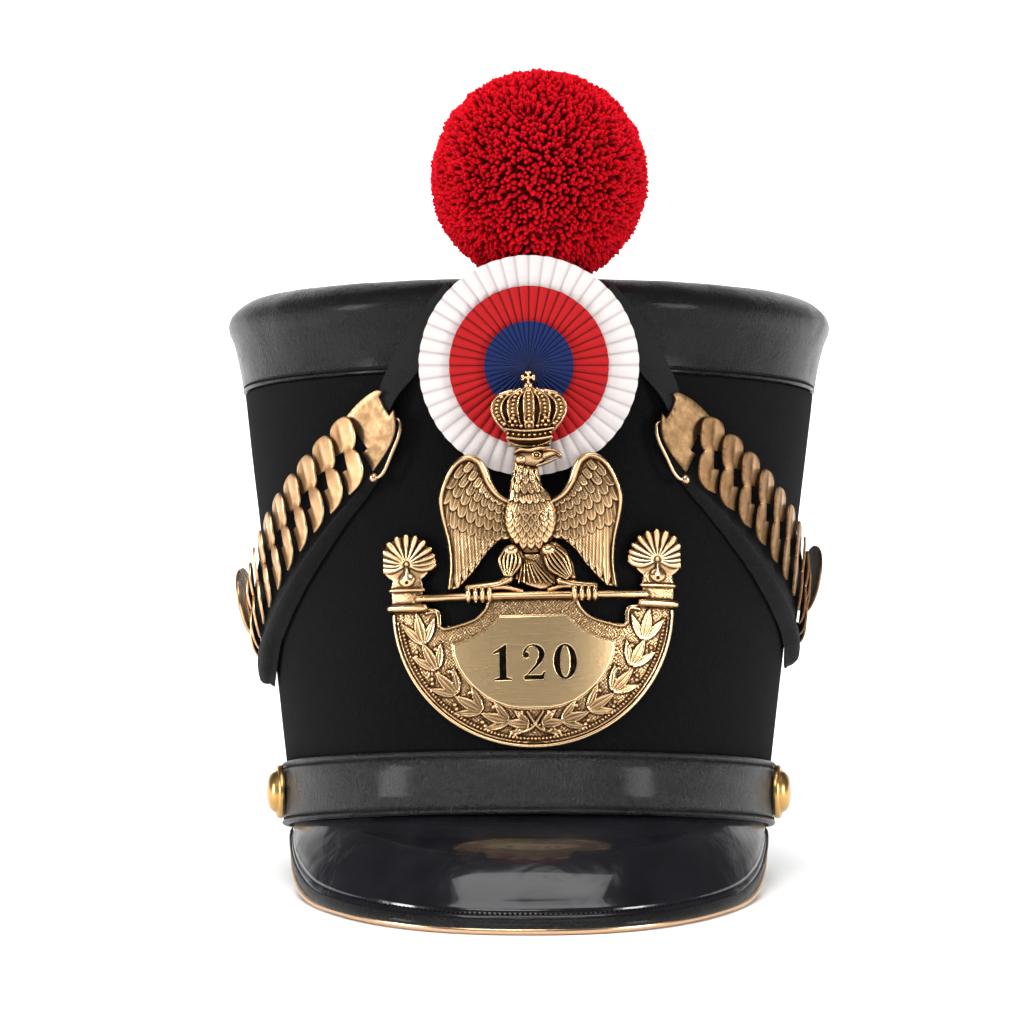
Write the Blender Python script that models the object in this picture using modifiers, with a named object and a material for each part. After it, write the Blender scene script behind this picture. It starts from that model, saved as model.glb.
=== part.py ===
"""A black felt shako with leather bands, a brass plate, scale chains, a cockade and a wool pompom.

Units are metres, +Z is up and the front of the hat looks along -Y.

The pieces are modelled in the hat's own frame: z = 0 is the foot of the wall, the axis is upright.
The empty "hat_rest" then leans the hat back, as it stands by itself on a table: on the rear of its
foot and on the front of the peak's rim. It also puts the middle of its footprint at the origin.

Azimuth is measured round the wall from the front, positive towards +X.
"""
import math

import bmesh
import bpy
from mathutils import Matrix, Vector

# ---------------------------------------------------------------- driving dimensions
GAP = 0.0003                # air between pieces that touch
RING = 40                   # sides of everything that goes round the wall

FOOT_HALF_WIDTH = 0.0905    # felt wall, carried down to z = 0
FOOT_HALF_DEPTH = 0.1036
FLARE_WIDTH = 0.1147        # how much the half width grows for each metre of height
FLARE_DEPTH = 0.0583        # how much the half depth grows
FELT_WALL = 0.003
FELT_TOP_Z = 0.1892
BASE_BAND_Z = 0.0238        # top edge of the base band
TOP_BAND_Z = 0.1665         # lower edge of the top band
ROLL_TOP_Z = 0.2018         # highest line of the rolled rim
ROLL_TOP_RADIUS = 0.1045    # half width at that line
CROWN_TOP_Z = 0.1880        # upper face of the sunken top
CROWN_TOP_THICK = 0.0025

REAR_REST_Y = 0.097         # from here backward the foot is pressed flat by the hat's weight
LIP_DROP = 0.0470           # the peak's front edge below z = 0
LIP_REACH = 0.1470          # the peak's front edge in front of the axis
PEAK_HALF_WIDTH = 0.0900
PEAK_SIDE_Y = -0.0290       # where the peak's corners meet the wall
PEAK_SPREAD = math.radians(74)
PEAK_LEATHER = 0.0020
PEAK_BULGE = 0.0060
LEAN = math.atan2(LIP_DROP, REAR_REST_Y + LIP_REACH)   # how far the resting hat leans back

CHAIN_START_Z = 0.1376      # middle of the foremost scale
CHAIN_START_ARC = 0.0710
CHAIN_EASE_ARC = 0.1200     # from here towards the side of the hat a chain's fall eases off
CHAIN_RADIUS = 0.110        # radius that turns an azimuth into an arc along the chain
SCALE_COUNT = 11
SCALE_PITCH = 0.0119
SCALE_THICK = 0.0008
SCALE_LIFT = 0.0070         # underside of a scale above the felt, at its middle
SCALE_TILT = math.radians(12)

# The two chains don't hang alike: fall for each metre round the wall, easing of that fall near
# the side of the hat, turn of the scales against the chain, how much closer to the felt the rear
# end lies, how far the rosette's centre is above the chain's middle, and how much of the strap's
# extra depth its rear end has.
CHAINS = {
    "left": {"side": -1, "slope": 0.667, "ease": 3.8, "skew": 21.0, "settle": 0.0008, "rosette": 0.0078,
             "strap_end": 1.0},
    "right": {"side": 1, "slope": 0.580, "ease": 2.6, "skew": 30.0, "settle": 0.0018, "rosette": 0.0122,
              "strap_end": 0.5},
}

COCKADE_Z = 0.1679
COCKADE_LEAN = math.radians(7.0)
COCKADE_BACK_Y = -0.1197    # rear of the cockade at the height of the rolled rim's widest line
ROLL_WIDEST_Z = 0.1915

POMPOM_CENTRE = Vector((0.0040, -0.0965, 0.2406))
POMPOM_RADIUS = 0.0425
STEM_RADIUS = 0.0025
STEM_Y = -0.0900             # the post stands just inside the rolled rim

PLATE_FOOT_Z = 0.0246       # lowest point of the crescent shield
PLATE_X = 0.0026            # the plate sits a little to one side
PLATE_TURN = math.radians(1.2)
PLATE_SEAT = 0.0008         # rear face of the plate above the felt
SHIELD_RADIUS = 0.0532
SHIELD_THICK = 0.0012


# ---------------------------------------------------------------- scene and materials
def clear_scene():
    for old in list(bpy.data.objects):
        bpy.data.objects.remove(old, do_unlink=True)


def new_collection(name):
    collection = bpy.data.collections.new(name)
    bpy.context.scene.collection.children.link(collection)
    return collection


def material(name, colour, roughness, metallic=0.0):
    made = bpy.data.materials.new(name)
    made.use_nodes = True
    shader = made.node_tree.nodes["Principled BSDF"]
    shader.inputs["Base Color"].default_value = (*colour, 1.0)
    shader.inputs["Roughness"].default_value = roughness
    shader.inputs["Metallic"].default_value = metallic
    return made


clear_scene()
PARTS = new_collection("shako")
CUTTERS = new_collection("shako_cutters")
REST = bpy.data.objects.new("hat_rest", None)
PARTS.objects.link(REST)

FELT = material("felt", (0.012, 0.012, 0.014), 0.95)
LEATHER_MAT = material("leather", (0.02, 0.02, 0.022), 0.35)
PATENT = material("patent_leather", (0.01, 0.01, 0.014), 0.08)
BRASS = material("antique_brass", (0.50, 0.34, 0.17), 0.38, 1.0)
BRIGHT_BRASS = material("bright_brass", (0.70, 0.43, 0.13), 0.22, 1.0)
RIM_BRASS = material("rim_brass", (0.62, 0.38, 0.24), 0.25, 1.0)
STRAP_CLOTH = material("strap_cloth", (0.01, 0.01, 0.011), 0.95)
RIBBON_CLOTH = material("ribbon_cloth", (0.02, 0.02, 0.022), 0.8)
WHITE_COTTON = material("white_cotton", (0.82, 0.80, 0.79), 0.85)
RED_COTTON = material("red_cotton", (0.70, 0.03, 0.03), 0.85)
BLUE_COTTON = material("blue_cotton", (0.015, 0.05, 0.22), 0.85)
RED_WOOL = material("red_wool", (0.55, 0.01, 0.01), 0.95)
WOOD = material("wood", (0.25, 0.15, 0.08), 0.7)


def add_part(name, bm, finish, smooth_angle=35.0):
    """A mesh object of its own for each piece, carried by the empty that leans the hat."""
    if all(len(edge.link_faces) == 2 for edge in bm.edges):
        face_outward(bm)
    mesh = bpy.data.meshes.new(name)
    bm.to_mesh(mesh)
    bm.free()
    mesh.shade_smooth()
    mesh.set_sharp_from_angle(angle=math.radians(smooth_angle))
    mesh.materials.append(finish)
    part = bpy.data.objects.new(name, mesh)
    PARTS.objects.link(part)
    part.parent = REST
    return part


def face_outward(bm):
    """Turns every face of a closed shape outward."""
    bmesh.ops.recalc_face_normals(bm, faces=bm.faces)
    if bm.calc_volume(signed=True) < 0:
        bmesh.ops.reverse_faces(bm, faces=bm.faces)


def new_verts(grown):
    return [item for item in grown["geom"] if isinstance(item, bmesh.types.BMVert)]


def new_edges(grown):
    return [item for item in grown["geom"] if isinstance(item, bmesh.types.BMEdge)]


# ---------------------------------------------------------------- the wall that everything sits on
def half_width(z):
    return FOOT_HALF_WIDTH + FLARE_WIDTH * z


def half_depth(z):
    return FOOT_HALF_DEPTH + FLARE_DEPTH * z


def wall_point(azimuth, z, stand_off=0.0):
    """A point of the felt wall, or one standing off it."""
    across = (half_width(z) + stand_off) * math.sin(azimuth)
    forward = (half_depth(z) + stand_off) * math.cos(azimuth)
    return Vector((across, -forward, z))


def wall_normal(azimuth, z):
    step = 0.0005
    round_wall = wall_point(azimuth + 0.01, z) - wall_point(azimuth - 0.01, z)
    up_wall = wall_point(azimuth, z + step) - wall_point(azimuth, z - step)
    return round_wall.cross(up_wall).normalized()


def wall_front_y(x, z, stand_off):
    """How far forward the front of the wall reaches at (x, z), standing off it."""
    share = min(abs(x) / (half_width(z) + stand_off), 0.999)
    return -(half_depth(z) + stand_off) * math.sqrt(1.0 - share * share)


def interpolate(table, place):
    """Straight-line reading of a table whose rows are (place, value, ...)."""
    if place <= table[0][0]:
        return table[0][1:]
    for low, high in zip(table, table[1:]):
        if place <= high[0]:
            share = (place - low[0]) / (high[0] - low[0])
            return tuple(a + share * (b - a) for a, b in zip(low[1:], high[1:]))
    return table[-1][1:]


# ---------------------------------------------------------------- walls round the hat
def oval_wall(rows):
    """A closed wall round the oval head. Its rows (z, half width) run round its cut section."""
    bm = bmesh.new()
    first_verts = bmesh.ops.create_circle(bm, segments=RING, radius=1.0)["verts"]
    first_edges = list(bm.edges)
    azimuths = [math.atan2(vert.co.x, -vert.co.y) for vert in first_verts]

    def place_ring(verts, row):
        z, width = row
        depth = width + half_depth(z) - half_width(z)
        for vert, azimuth in zip(verts, azimuths):
            vert.co = (width * math.sin(azimuth), -depth * math.cos(azimuth), z)

    ring_edges = first_edges
    ring_verts = first_verts
    for row in rows[1:]:
        order = {vert: index for index, vert in enumerate(ring_verts)}
        grown = bmesh.ops.extrude_edge_only(bm, edges=ring_edges)
        fresh = new_verts(grown)
        ring_edges = [edge for edge in new_edges(grown) if all(v in fresh for v in edge.verts)]
        below = {}
        for vert in fresh:
            for edge in vert.link_edges:
                other = edge.other_vert(vert)
                if other in order:
                    below[vert] = order[other]
        ring_verts = sorted(fresh, key=below.get)
        place_ring(ring_verts, row)
    place_ring(first_verts, rows[0])
    bmesh.ops.bridge_loops(bm, edges=ring_edges + first_edges)
    return bm


def floor_cutter():
    """Everything below this box's top is pressed flat where the hat rests."""
    bm = bmesh.new()
    bmesh.ops.create_cube(bm, size=1.0, matrix=Matrix.Diagonal((0.5, 0.2, 0.1, 1.0)))
    bmesh.ops.translate(bm, verts=bm.verts, vec=(0.0, 0.16, -0.05))
    mesh = bpy.data.meshes.new("floor_cutter")
    bm.to_mesh(mesh)
    bm.free()
    cutter = bpy.data.objects.new("floor_cutter", mesh)
    CUTTERS.objects.link(cutter)
    cutter.display_type = "WIRE"
    cutter.hide_render = True
    return cutter


def cut_away(part, cutter):
    cut = part.modifiers.new("cut_by_" + cutter.name, "BOOLEAN")
    cut.operation = "DIFFERENCE"
    cut.solver = "EXACT"
    cut.object = cutter


# Felt wall: (z, half width) up the outside. It is a little slimmer under the sewn leather bands.
FELT_OUTSIDE = [
    (0.0, 0.0921),
    (0.0241, 0.0927),
    (0.0247, half_width(0.0247)),
    (0.1656, half_width(0.1656)),
    (0.1662, 0.1081),
    (FELT_TOP_Z, 0.1121),
]


def build_crown_body(cutter):
    inside = [(z, width - FELT_WALL) for z, width in (FELT_OUTSIDE[-1], FELT_OUTSIDE[0])]
    part = add_part("crown_body", oval_wall(FELT_OUTSIDE + inside), FELT)
    cut_away(part, cutter)


def build_base_band(cutter):
    outside = [(0.0, 0.0944), (0.0224, 0.0951), (BASE_BAND_Z, 0.0947)]
    inside = [(BASE_BAND_Z, 0.0928 + GAP), (0.0, 0.0921 + GAP)]
    part = add_part("base_band", oval_wall(outside + inside), LEATHER_MAT)
    cut_away(part, cutter)


# Leather band and rolled rim: (z, half width) up the outside, over the roll and down inside it.
BAND_OUTSIDE = [
    (TOP_BAND_Z, 0.1101),
    (0.1816, 0.1129),
    (0.1885, 0.1154),
    (0.1925, 0.1160),
    (0.1980, 0.1125),
    (ROLL_TOP_Z, ROLL_TOP_RADIUS),
    (0.1990, 0.0962),
    (CROWN_TOP_Z + GAP, 0.0938),
]
BAND_INSIDE = [
    (CROWN_TOP_Z + GAP, 0.0956),
    (0.1978, 0.0988),
    (0.1975, 0.1090),
    (0.1905, 0.1138),
    (TOP_BAND_Z, 0.1084 + GAP),
]


def build_top_band():
    add_part("top_band", oval_wall(BAND_OUTSIDE + BAND_INSIDE), LEATHER_MAT)


def build_crown_top():
    """A flat oval disc that lies inside the felt, under the end of the rolled rim."""
    outer = FELT_OUTSIDE[-1][1] - FELT_WALL - GAP - 0.0005
    under = CROWN_TOP_Z - CROWN_TOP_THICK
    bm = bmesh.new()
    bmesh.ops.create_cone(bm, cap_ends=True, segments=RING, radius1=1.0, radius2=1.0,
                          depth=CROWN_TOP_THICK)
    depth = outer + half_depth(CROWN_TOP_Z) - half_width(CROWN_TOP_Z)
    bmesh.ops.scale(bm, verts=bm.verts, vec=(outer, depth, 1.0))
    bmesh.ops.translate(bm, verts=bm.verts, vec=(0.0, 0.0, under + CROWN_TOP_THICK / 2))
    add_part("crown_top", bm, LEATHER_MAT)


def band_front(z):
    """Half width of the top band's outside at height z, and of the felt below the band."""
    if z < TOP_BAND_Z:
        return half_width(z)
    return interpolate(BAND_OUTSIDE[:4] + [(0.2100, BAND_OUTSIDE[3][1])], z)[0]


# ---------------------------------------------------------------- peak and its rim
PEAK_STEPS = 20
PEAK_ROWS = 4
LIP_CLEAR = 0.0023          # top of the lip above the table, with the rim under it


def floor_height(y):
    """Height of the table under the resting hat, in the hat's own frame."""
    return (y - REAR_REST_Y) * math.tan(LEAN)


def lip_curve(turn):
    """The peak's free edge, for a turn of -90 to 90 degrees: a rounded crescent."""
    swing = abs(math.sin(turn)) ** (2.0 / 3.0)
    across = math.copysign(PEAK_HALF_WIDTH * swing, turn)
    forward = PEAK_SIDE_Y - (LIP_REACH + PEAK_SIDE_Y) * math.sqrt(max(0.0, 1.0 - swing ** 2.3))
    hang = -LIP_DROP * abs(math.cos(turn)) ** (2.0 / 3.0) - 0.0035 * swing ** 6
    floor = floor_height(forward) + LIP_CLEAR
    blend = 0.0008
    return Vector((across, forward, (hang + floor + math.sqrt((hang - floor) ** 2 + blend ** 2)) / 2))


def evenly_spaced(curve, start, end, count, fine=600):
    """Points a fixed distance apart along a curve that is given by a function."""
    dense = [curve(start + (end - start) * index / fine) for index in range(fine + 1)]
    run = [0.0]
    for before, after in zip(dense, dense[1:]):
        run.append(run[-1] + (after - before).length)
    points = []
    cursor = 0
    for index in range(count + 1):
        wanted = run[-1] * index / count
        while cursor < fine - 1 and run[cursor + 1] < wanted:
            cursor += 1
        share = (wanted - run[cursor]) / max(run[cursor + 1] - run[cursor], 1e-9)
        points.append(dense[cursor].lerp(dense[cursor + 1], min(share, 1.0)))
    return points


LIP = evenly_spaced(lip_curve, -math.pi / 2, math.pi / 2, PEAK_STEPS)


def peak_root(index):
    azimuth = PEAK_SPREAD * (2.0 * index / PEAK_STEPS - 1.0)
    return Vector((0.0931 * math.sin(azimuth), -0.1049 * math.cos(azimuth), -GAP - 0.0001))


def peak_point(index, share):
    """share = 0 at the wall, 1 at the free edge; the sheet bulges in between."""
    root, lip = peak_root(index), LIP[index]
    before, after = LIP[max(index - 1, 0)], LIP[min(index + 1, PEAK_STEPS)]
    outward = (after - before).cross(lip - root).normalized()
    if outward.z < 0:
        outward.negate()
    fullness = math.sin(math.pi * index / PEAK_STEPS) ** 0.5
    return root.lerp(lip, share) + outward * PEAK_BULGE * fullness * math.sin(math.pi * share)


def build_peak():
    bm = bmesh.new()
    bmesh.ops.create_grid(bm, x_segments=PEAK_STEPS, y_segments=PEAK_ROWS, size=0.5)
    for vert in bm.verts:
        index = round((vert.co.x + 0.5) * PEAK_STEPS)
        vert.co = peak_point(index, 0.5 - vert.co.y)
    part = add_part("peak", bm, PATENT)
    wall = part.modifiers.new("leather", "SOLIDIFY")
    wall.thickness = PEAK_LEATHER
    wall.offset = -1.0
    wall.use_even_offset = True


# Section of the brass channel over the lip: (outward, up) from the middle of the leather's edge.
RIM_SECTION = [
    (-0.0024, 0.0020),
    (0.0006, 0.0019),
    (0.0013, 0.0),
    (0.0006, -0.0019),
    (-0.0024, -0.0020),
    (-0.0024, -0.0013),
    (GAP, -0.0013),
    (GAP, 0.0013),
    (-0.0024, 0.0013),
]


def sweep(sections, closed_section=True):
    """Skins a run of sections, each a ring of points in the same order, and caps the ends."""
    bm = bmesh.new()
    rings = [[bm.verts.new(point) for point in section] for section in sections]
    for before, after in zip(rings, rings[1:]):
        for index in range(len(before) if closed_section else len(before) - 1):
            follow = (index + 1) % len(before)
            bm.faces.new((before[index], before[follow], after[follow], after[index]))
    bm.faces.new(rings[0])
    bm.faces.new(rings[-1])
    return bm


def build_peak_rim():
    sections = []
    for index in range(PEAK_STEPS + 1):
        before, after = LIP[max(index - 1, 0)], LIP[min(index + 1, PEAK_STEPS)]
        along = (after - before).normalized()
        edge = peak_point(index, 1.0)
        outward = edge - peak_point(index, 0.85)
        outward = (outward - along * outward.dot(along)).normalized()
        up = along.cross(outward).normalized()
        if up.dot(Vector((0.0, -0.5, 0.8))) < 0:
            up.negate()
        middle = edge - up * PEAK_LEATHER / 2
        sections.append([middle + outward * out + up * rise for out, rise in RIM_SECTION])
    add_part("peak_rim", sweep(sections), RIM_BRASS)


# ---------------------------------------------------------------- turned brass pieces
def frame_matrix(origin, right, up, out):
    """Local X, Y and Z become right, up and out."""
    return Matrix((
        (right.x, up.x, out.x, origin.x),
        (right.y, up.y, out.y, origin.y),
        (right.z, up.z, out.z, origin.z),
        (0.0, 0.0, 0.0, 1.0),
    ))


def turned(profile, segments, matrix):
    """A solid of revolution about local Z from rows (radius, height), outermost row first."""
    bm = bmesh.new()
    points = [bm.verts.new((radius, 0.0, height)) for radius, height in profile]
    edges = [bm.edges.new(pair) for pair in zip(points, points[1:])]
    bmesh.ops.spin(bm, geom=points + edges, cent=(0.0, 0.0, 0.0), axis=(0.0, 0.0, 1.0),
                   angle=2.0 * math.pi, steps=segments, use_merge=True)
    bmesh.ops.remove_doubles(bm, verts=bm.verts, dist=1e-6)
    bmesh.ops.dissolve_degenerate(bm, dist=1e-7, edges=bm.edges)
    bmesh.ops.transform(bm, matrix=matrix, verts=bm.verts)
    return bm


BOSS_AZIMUTH = math.radians(83)
BOSS_Z = 0.0124
BOSS_PROFILE = [    # (radius, height) of the domed button, from the top down to its flat back
    (0.0, 0.0060),
    (0.0050, 0.0055),
    (0.0082, 0.0035),
    (0.0090, 0.0020),
    (0.0104, 0.0012),
    (0.0104, 0.0),
    (0.0, 0.0),
]
ROSETTE_PROFILE = [     # (radius, height) of the round boss over the end of the scale chain
    (0.0, 0.0025),
    (0.0035, 0.0023),
    (0.0055, 0.0013),
    (0.0100, 0.0019),
    (0.0132, 0.0008),
    (0.0132, 0.0),
    (0.0, 0.0),
]


def build_boss(side, name):
    azimuth = side * BOSS_AZIMUTH
    reach = 0.0951 + GAP
    deep = reach + half_depth(BOSS_Z) - half_width(BOSS_Z)
    seat = Vector((reach * math.sin(azimuth), -deep * math.cos(azimuth), BOSS_Z))
    out = Vector((math.sin(azimuth) / reach, -math.cos(azimuth) / deep, 0.0)).normalized()
    up = Vector((0.0, 0.0, 1.0))
    matrix = frame_matrix(seat, up.cross(out), up, out)
    add_part(name, turned(BOSS_PROFILE, 12, matrix), BRIGHT_BRASS)


# ---------------------------------------------------------------- scale chains
def chain_height(arc, chain):
    """Height of a chain's middle line for an arc measured round the wall from the front."""
    fall = chain["slope"] * (arc - CHAIN_START_ARC)
    past = max(arc - CHAIN_EASE_ARC, 0.0)
    return CHAIN_START_Z - fall + chain["ease"] * past * past


def chain_place(run, chain):
    """Arc, height and slope at a run along the chain; positive runs lead on to the front end."""
    arc, travelled = CHAIN_START_ARC, 0.0
    step = math.copysign(0.0005, run)
    while travelled < abs(run):
        ahead = arc - step
        rise = chain_height(ahead, chain) - chain_height(arc, chain)
        travelled += math.hypot(step, rise)
        arc = ahead
    fall = (chain_height(arc - 0.001, chain) - chain_height(arc + 0.001, chain)) / 0.002
    return arc, chain_height(arc, chain), math.atan(fall)


def chain_spot(run, across, lift, chain):
    """A point over the felt: along the chain, up across it and off the wall."""
    arc, z, slope = chain_place(run, chain)
    arc += across * math.sin(slope)
    z += across * math.cos(slope)
    azimuth = arc / CHAIN_RADIUS
    spot = wall_point(azimuth, z) + wall_normal(azimuth, z) * lift
    return Vector((chain["side"] * spot.x, spot.y, spot.z))


def chain_settle(run, chain):
    """How much closer to the felt the chain lies at a run."""
    return chain["settle"] * min(max((-0.070 - run) / 0.045, 0.0), 1.0)


def chain_frame(run, chain, shift=0.0):
    """Point on the felt, direction to the front end, direction up across, and normal."""
    seat = chain_spot(run, shift, 0.0, chain)
    along = chain_spot(run + 0.001, shift, 0.0, chain) - chain_spot(run - 0.001, shift, 0.0, chain)
    out = chain_spot(run, shift, 0.01, chain) - seat
    along.normalize()
    out.normalize()
    across = out.cross(along)
    if across.z < 0:
        across.negate()
    return seat, along, across, out


def chain_plate_matrix(run, chain, tilt, skew, lift, shift=0.0):
    """Local X runs to the front end, Y up across the chain, Z out of the wall."""
    seat, along, across, out = chain_frame(run, chain, shift)
    turned_along = along * math.cos(skew) - across * math.sin(skew)
    turned_across = across * math.cos(skew) + along * math.sin(skew)
    raised = turned_along * math.cos(tilt) + out * math.sin(tilt)
    facing = out * math.cos(tilt) - turned_along * math.sin(tilt)
    seat = seat + out * (lift - chain_settle(run, chain))
    return frame_matrix(seat, raised, turned_across, facing)


def flat_plate(outline, thickness, cuts):
    """A plate from an outline of (x, y); extra cuts along y let it take a curve."""
    bm = bmesh.new()
    face = bm.faces.new([bm.verts.new((x, y, 0.0)) for x, y in outline])
    grown = bmesh.ops.extrude_face_region(bm, geom=[face])
    bmesh.ops.translate(bm, verts=new_verts(grown), vec=(0.0, 0.0, thickness))
    for y in cuts:
        bmesh.ops.bisect_plane(bm, geom=bm.verts[:] + bm.edges[:] + bm.faces[:],
                               plane_co=(0.0, y, 0.0), plane_no=(0.0, 1.0, 0.0))
    bmesh.ops.triangulate(bm, faces=bm.faces)
    return bm


SCALE_CROWN = 0.0006        # how much lower a scale's edges are than its middle
# Outline of a scale: two round lobes towards the front end (x), a tail at its lower end (y),
# and a rear edge with a slot.
SCALE_OUTLINE = [
    (0.0036, 0.0000),
    (0.0060, 0.0024),
    (0.0070, 0.0068),
    (0.0058, 0.0108),
    (0.0026, 0.0132),
    (-0.0040, 0.0122),
    (-0.0072, 0.0090),
    (-0.0072, 0.0004),
    (-0.0017, 0.0004),
    (-0.0017, -0.0062),
    (-0.0056, -0.0064),
    (-0.0052, -0.0156),
    (0.0012, -0.0140),
    (0.0054, -0.0110),
    (0.0069, -0.0070),
    (0.0060, -0.0024),
]


def crown_across(bm, half, drop):
    """Bends a plate so that its upper and lower edges lie lower than its middle."""
    for vert in bm.verts:
        vert.co.z -= drop * (vert.co.y / half) ** 2


def build_scale(index, side_name):
    chain = CHAINS[side_name]
    bm = flat_plate(SCALE_OUTLINE, SCALE_THICK, (-0.0064, 0.0068))
    crown_across(bm, 0.0125, SCALE_CROWN)
    matrix = chain_plate_matrix(-SCALE_PITCH * index, chain, SCALE_TILT, math.radians(chain["skew"]),
                                SCALE_LIFT)
    bmesh.ops.transform(bm, matrix=matrix, verts=bm.verts)
    add_part(f"scale_{side_name}_{index + 1:02d}", bm, BRASS)


# Fishtail plate at the front end of a chain: (run towards the front, up across).
TIP_OUTLINE = [
    (0.0035, -0.0118),
    (0.0130, -0.0098),
    (0.0197, -0.0071),
    (0.0228, -0.0043),
    (0.0245, -0.0020),
    (0.0258, 0.0004),
    (0.0229, -0.0002),
    (0.0228, 0.0040),
    (0.0235, 0.0083),
    (0.0257, 0.0092),
    (0.0235, 0.0113),
    (0.0160, 0.0125),
    (0.0086, 0.0121),
    (0.0040, 0.0112),
    (0.0040, 0.0036),
    (0.0068, 0.0036),
    (0.0068, -0.0036),
    (0.0040, -0.0036),
]
TIP_RUN = 0.0130            # where the plate's frame sits along the chain
TIP_LIFT = 0.0053
TIP_TILT = math.radians(4.0)


def build_tip_plate(side_name):
    outline = [(x - TIP_RUN, y) for x, y in TIP_OUTLINE]
    bm = flat_plate(outline, SCALE_THICK, (-0.005, 0.005))
    crown_across(bm, 0.0125, 0.0004)
    matrix = chain_plate_matrix(TIP_RUN, CHAINS[side_name], TIP_TILT, 0.0, TIP_LIFT)
    bmesh.ops.transform(bm, matrix=matrix, verts=bm.verts)
    add_part("tip_plate_" + side_name, bm, BRASS)


# Hook behind the tip plate: (run towards the front, up across, above the felt).
HOOK_ROUTE = [
    (0.0190, 0.0000, 0.0048),
    (0.0235, -0.0022, 0.0048),
    (0.0232, -0.0048, 0.0049),
    (0.0200, -0.0080, 0.0051),
    (0.0140, -0.0115, 0.0054),
    (0.0085, -0.0146, 0.0057),
    (0.0052, -0.0154, 0.0060),
    (0.0030, -0.0143, 0.0062),
]
HOOK_WIRE = 0.0007
HOOK_BALL = 0.0018


def build_hook(side_name):
    """A bent wire that ends in a ball, joined to it as one solid."""
    chain = CHAINS[side_name]
    spots = [chain_spot(run, across, lift, chain) for run, across, lift in HOOK_ROUTE]
    sections = []
    for index, spot in enumerate(spots):
        before, after = spots[max(index - 1, 0)], spots[min(index + 1, len(spots) - 1)]
        along = (after - before).normalized()
        out = chain_frame(HOOK_ROUTE[index][0], chain)[3]
        beside = along.cross(out).normalized()
        out = beside.cross(along)
        sections.append([spot + (beside * math.cos(turn) + out * math.sin(turn)) * HOOK_WIRE
                         for turn in (math.pi * corner / 2 for corner in range(4))])
    bm = sweep(sections)
    face_outward(bm)
    ball = bmesh.new()
    bmesh.ops.create_uvsphere(ball, u_segments=6, v_segments=4, radius=HOOK_BALL,
                              matrix=Matrix.Translation(spots[-1]))
    add_part("hook_" + side_name, fused([bm, ball]), RIM_BRASS)


def piece_object(name, pieces):
    """Puts pieces into one helper object for a Boolean."""
    joined = bmesh.new()
    for piece in pieces:
        mesh = bpy.data.meshes.new("piece")
        piece.to_mesh(mesh)
        piece.free()
        joined.from_mesh(mesh)
        bpy.data.meshes.remove(mesh)
    mesh = bpy.data.meshes.new(name)
    joined.to_mesh(mesh)
    joined.free()
    holder = bpy.data.objects.new(name, mesh)
    CUTTERS.objects.link(holder)
    return holder


def fused(pieces):
    """Boolean union of overlapping closed pieces, as one mesh."""
    first = piece_object("fuse_first", pieces[:1])
    others = piece_object("fuse_others", pieces[1:])
    union = first.modifiers.new("union", "BOOLEAN")
    union.operation = "UNION"
    union.solver = "EXACT"
    union.use_self = True
    union.object = others
    graph = bpy.context.evaluated_depsgraph_get()
    whole = bpy.data.meshes.new_from_object(first.evaluated_get(graph))
    bm = bmesh.new()
    bm.from_mesh(whole)
    for helper in (first, others):
        mesh = helper.data
        bpy.data.objects.remove(helper, do_unlink=True)
        bpy.data.meshes.remove(mesh)
    bpy.data.meshes.remove(whole)
    return bm


# Padded strap under the scales, with a thick roll along its lower edge:
# (run towards the front, upper edge, lower edge, height of the roll).
STRAP_EDGES = [
    (-0.1320, 0.0010, -0.0100, 0.0039),
    (-0.1290, 0.0060, -0.0190, 0.0046),
    (-0.1220, 0.0090, -0.0250, 0.0066),
    (-0.1140, 0.0095, -0.0280, 0.0076),
    (-0.1060, 0.0095, -0.0272, 0.0076),
    (-0.0980, 0.0095, -0.0245, 0.0074),
    (-0.0900, 0.0095, -0.0222, 0.0070),
    (-0.0660, 0.0095, -0.0206, 0.0066),
    (-0.0360, 0.0095, -0.0188, 0.0062),
    (-0.0060, 0.0092, -0.0155, 0.0044),
    (0.0070, 0.0090, -0.0128, 0.0039),
    (0.0140, 0.0085, -0.0100, 0.0039),
    (0.0205, 0.0055, -0.0055, 0.0039),
]
STRAP_UNDER = 0.0010
STRAP_OVER = 0.0039
STRAP_DEPTH = -0.0206
STRAP_SPANS = 15


def strap_section(run, chain):
    """Flat padded section with round edges and a roll along the lower one."""
    upper, lower, roll = interpolate(STRAP_EDGES, run)
    roll -= chain_settle(run, chain)
    if lower < STRAP_DEPTH:
        lower = STRAP_DEPTH + (lower - STRAP_DEPTH) * chain["strap_end"]
    over = STRAP_OVER - chain_settle(run, chain)
    spots = [
        (upper, 0.0020),
        (upper - 0.0015, over),
        (max(lower + 0.0034, -0.0152), over),
        (max(lower + 0.0028, -0.0172), roll),
        (lower + 0.0018, roll),
        (lower, roll * 0.5),
        (lower + 0.0015, STRAP_UNDER),
        (upper - 0.0015, STRAP_UNDER),
    ]
    return [chain_spot(run, across, lift, chain) for across, lift in spots]


def build_strap(side_name):
    chain = CHAINS[side_name]
    start, end = STRAP_EDGES[0][0], STRAP_EDGES[-1][0]
    runs = [start + (end - start) * index / STRAP_SPANS for index in range(STRAP_SPANS + 1)]
    add_part("strap_" + side_name, sweep([strap_section(run, chain) for run in runs]), STRAP_CLOTH)


ROSETTE_RUN = -0.1190
ROSETTE_LIFT = 0.0086


def build_rosette(side_name):
    chain = CHAINS[side_name]
    matrix = chain_plate_matrix(ROSETTE_RUN, chain, SCALE_TILT, 0.0, ROSETTE_LIFT, chain["rosette"])
    add_part("rosette_" + side_name, turned(ROSETTE_PROFILE, 12, matrix), BRASS)


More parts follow.
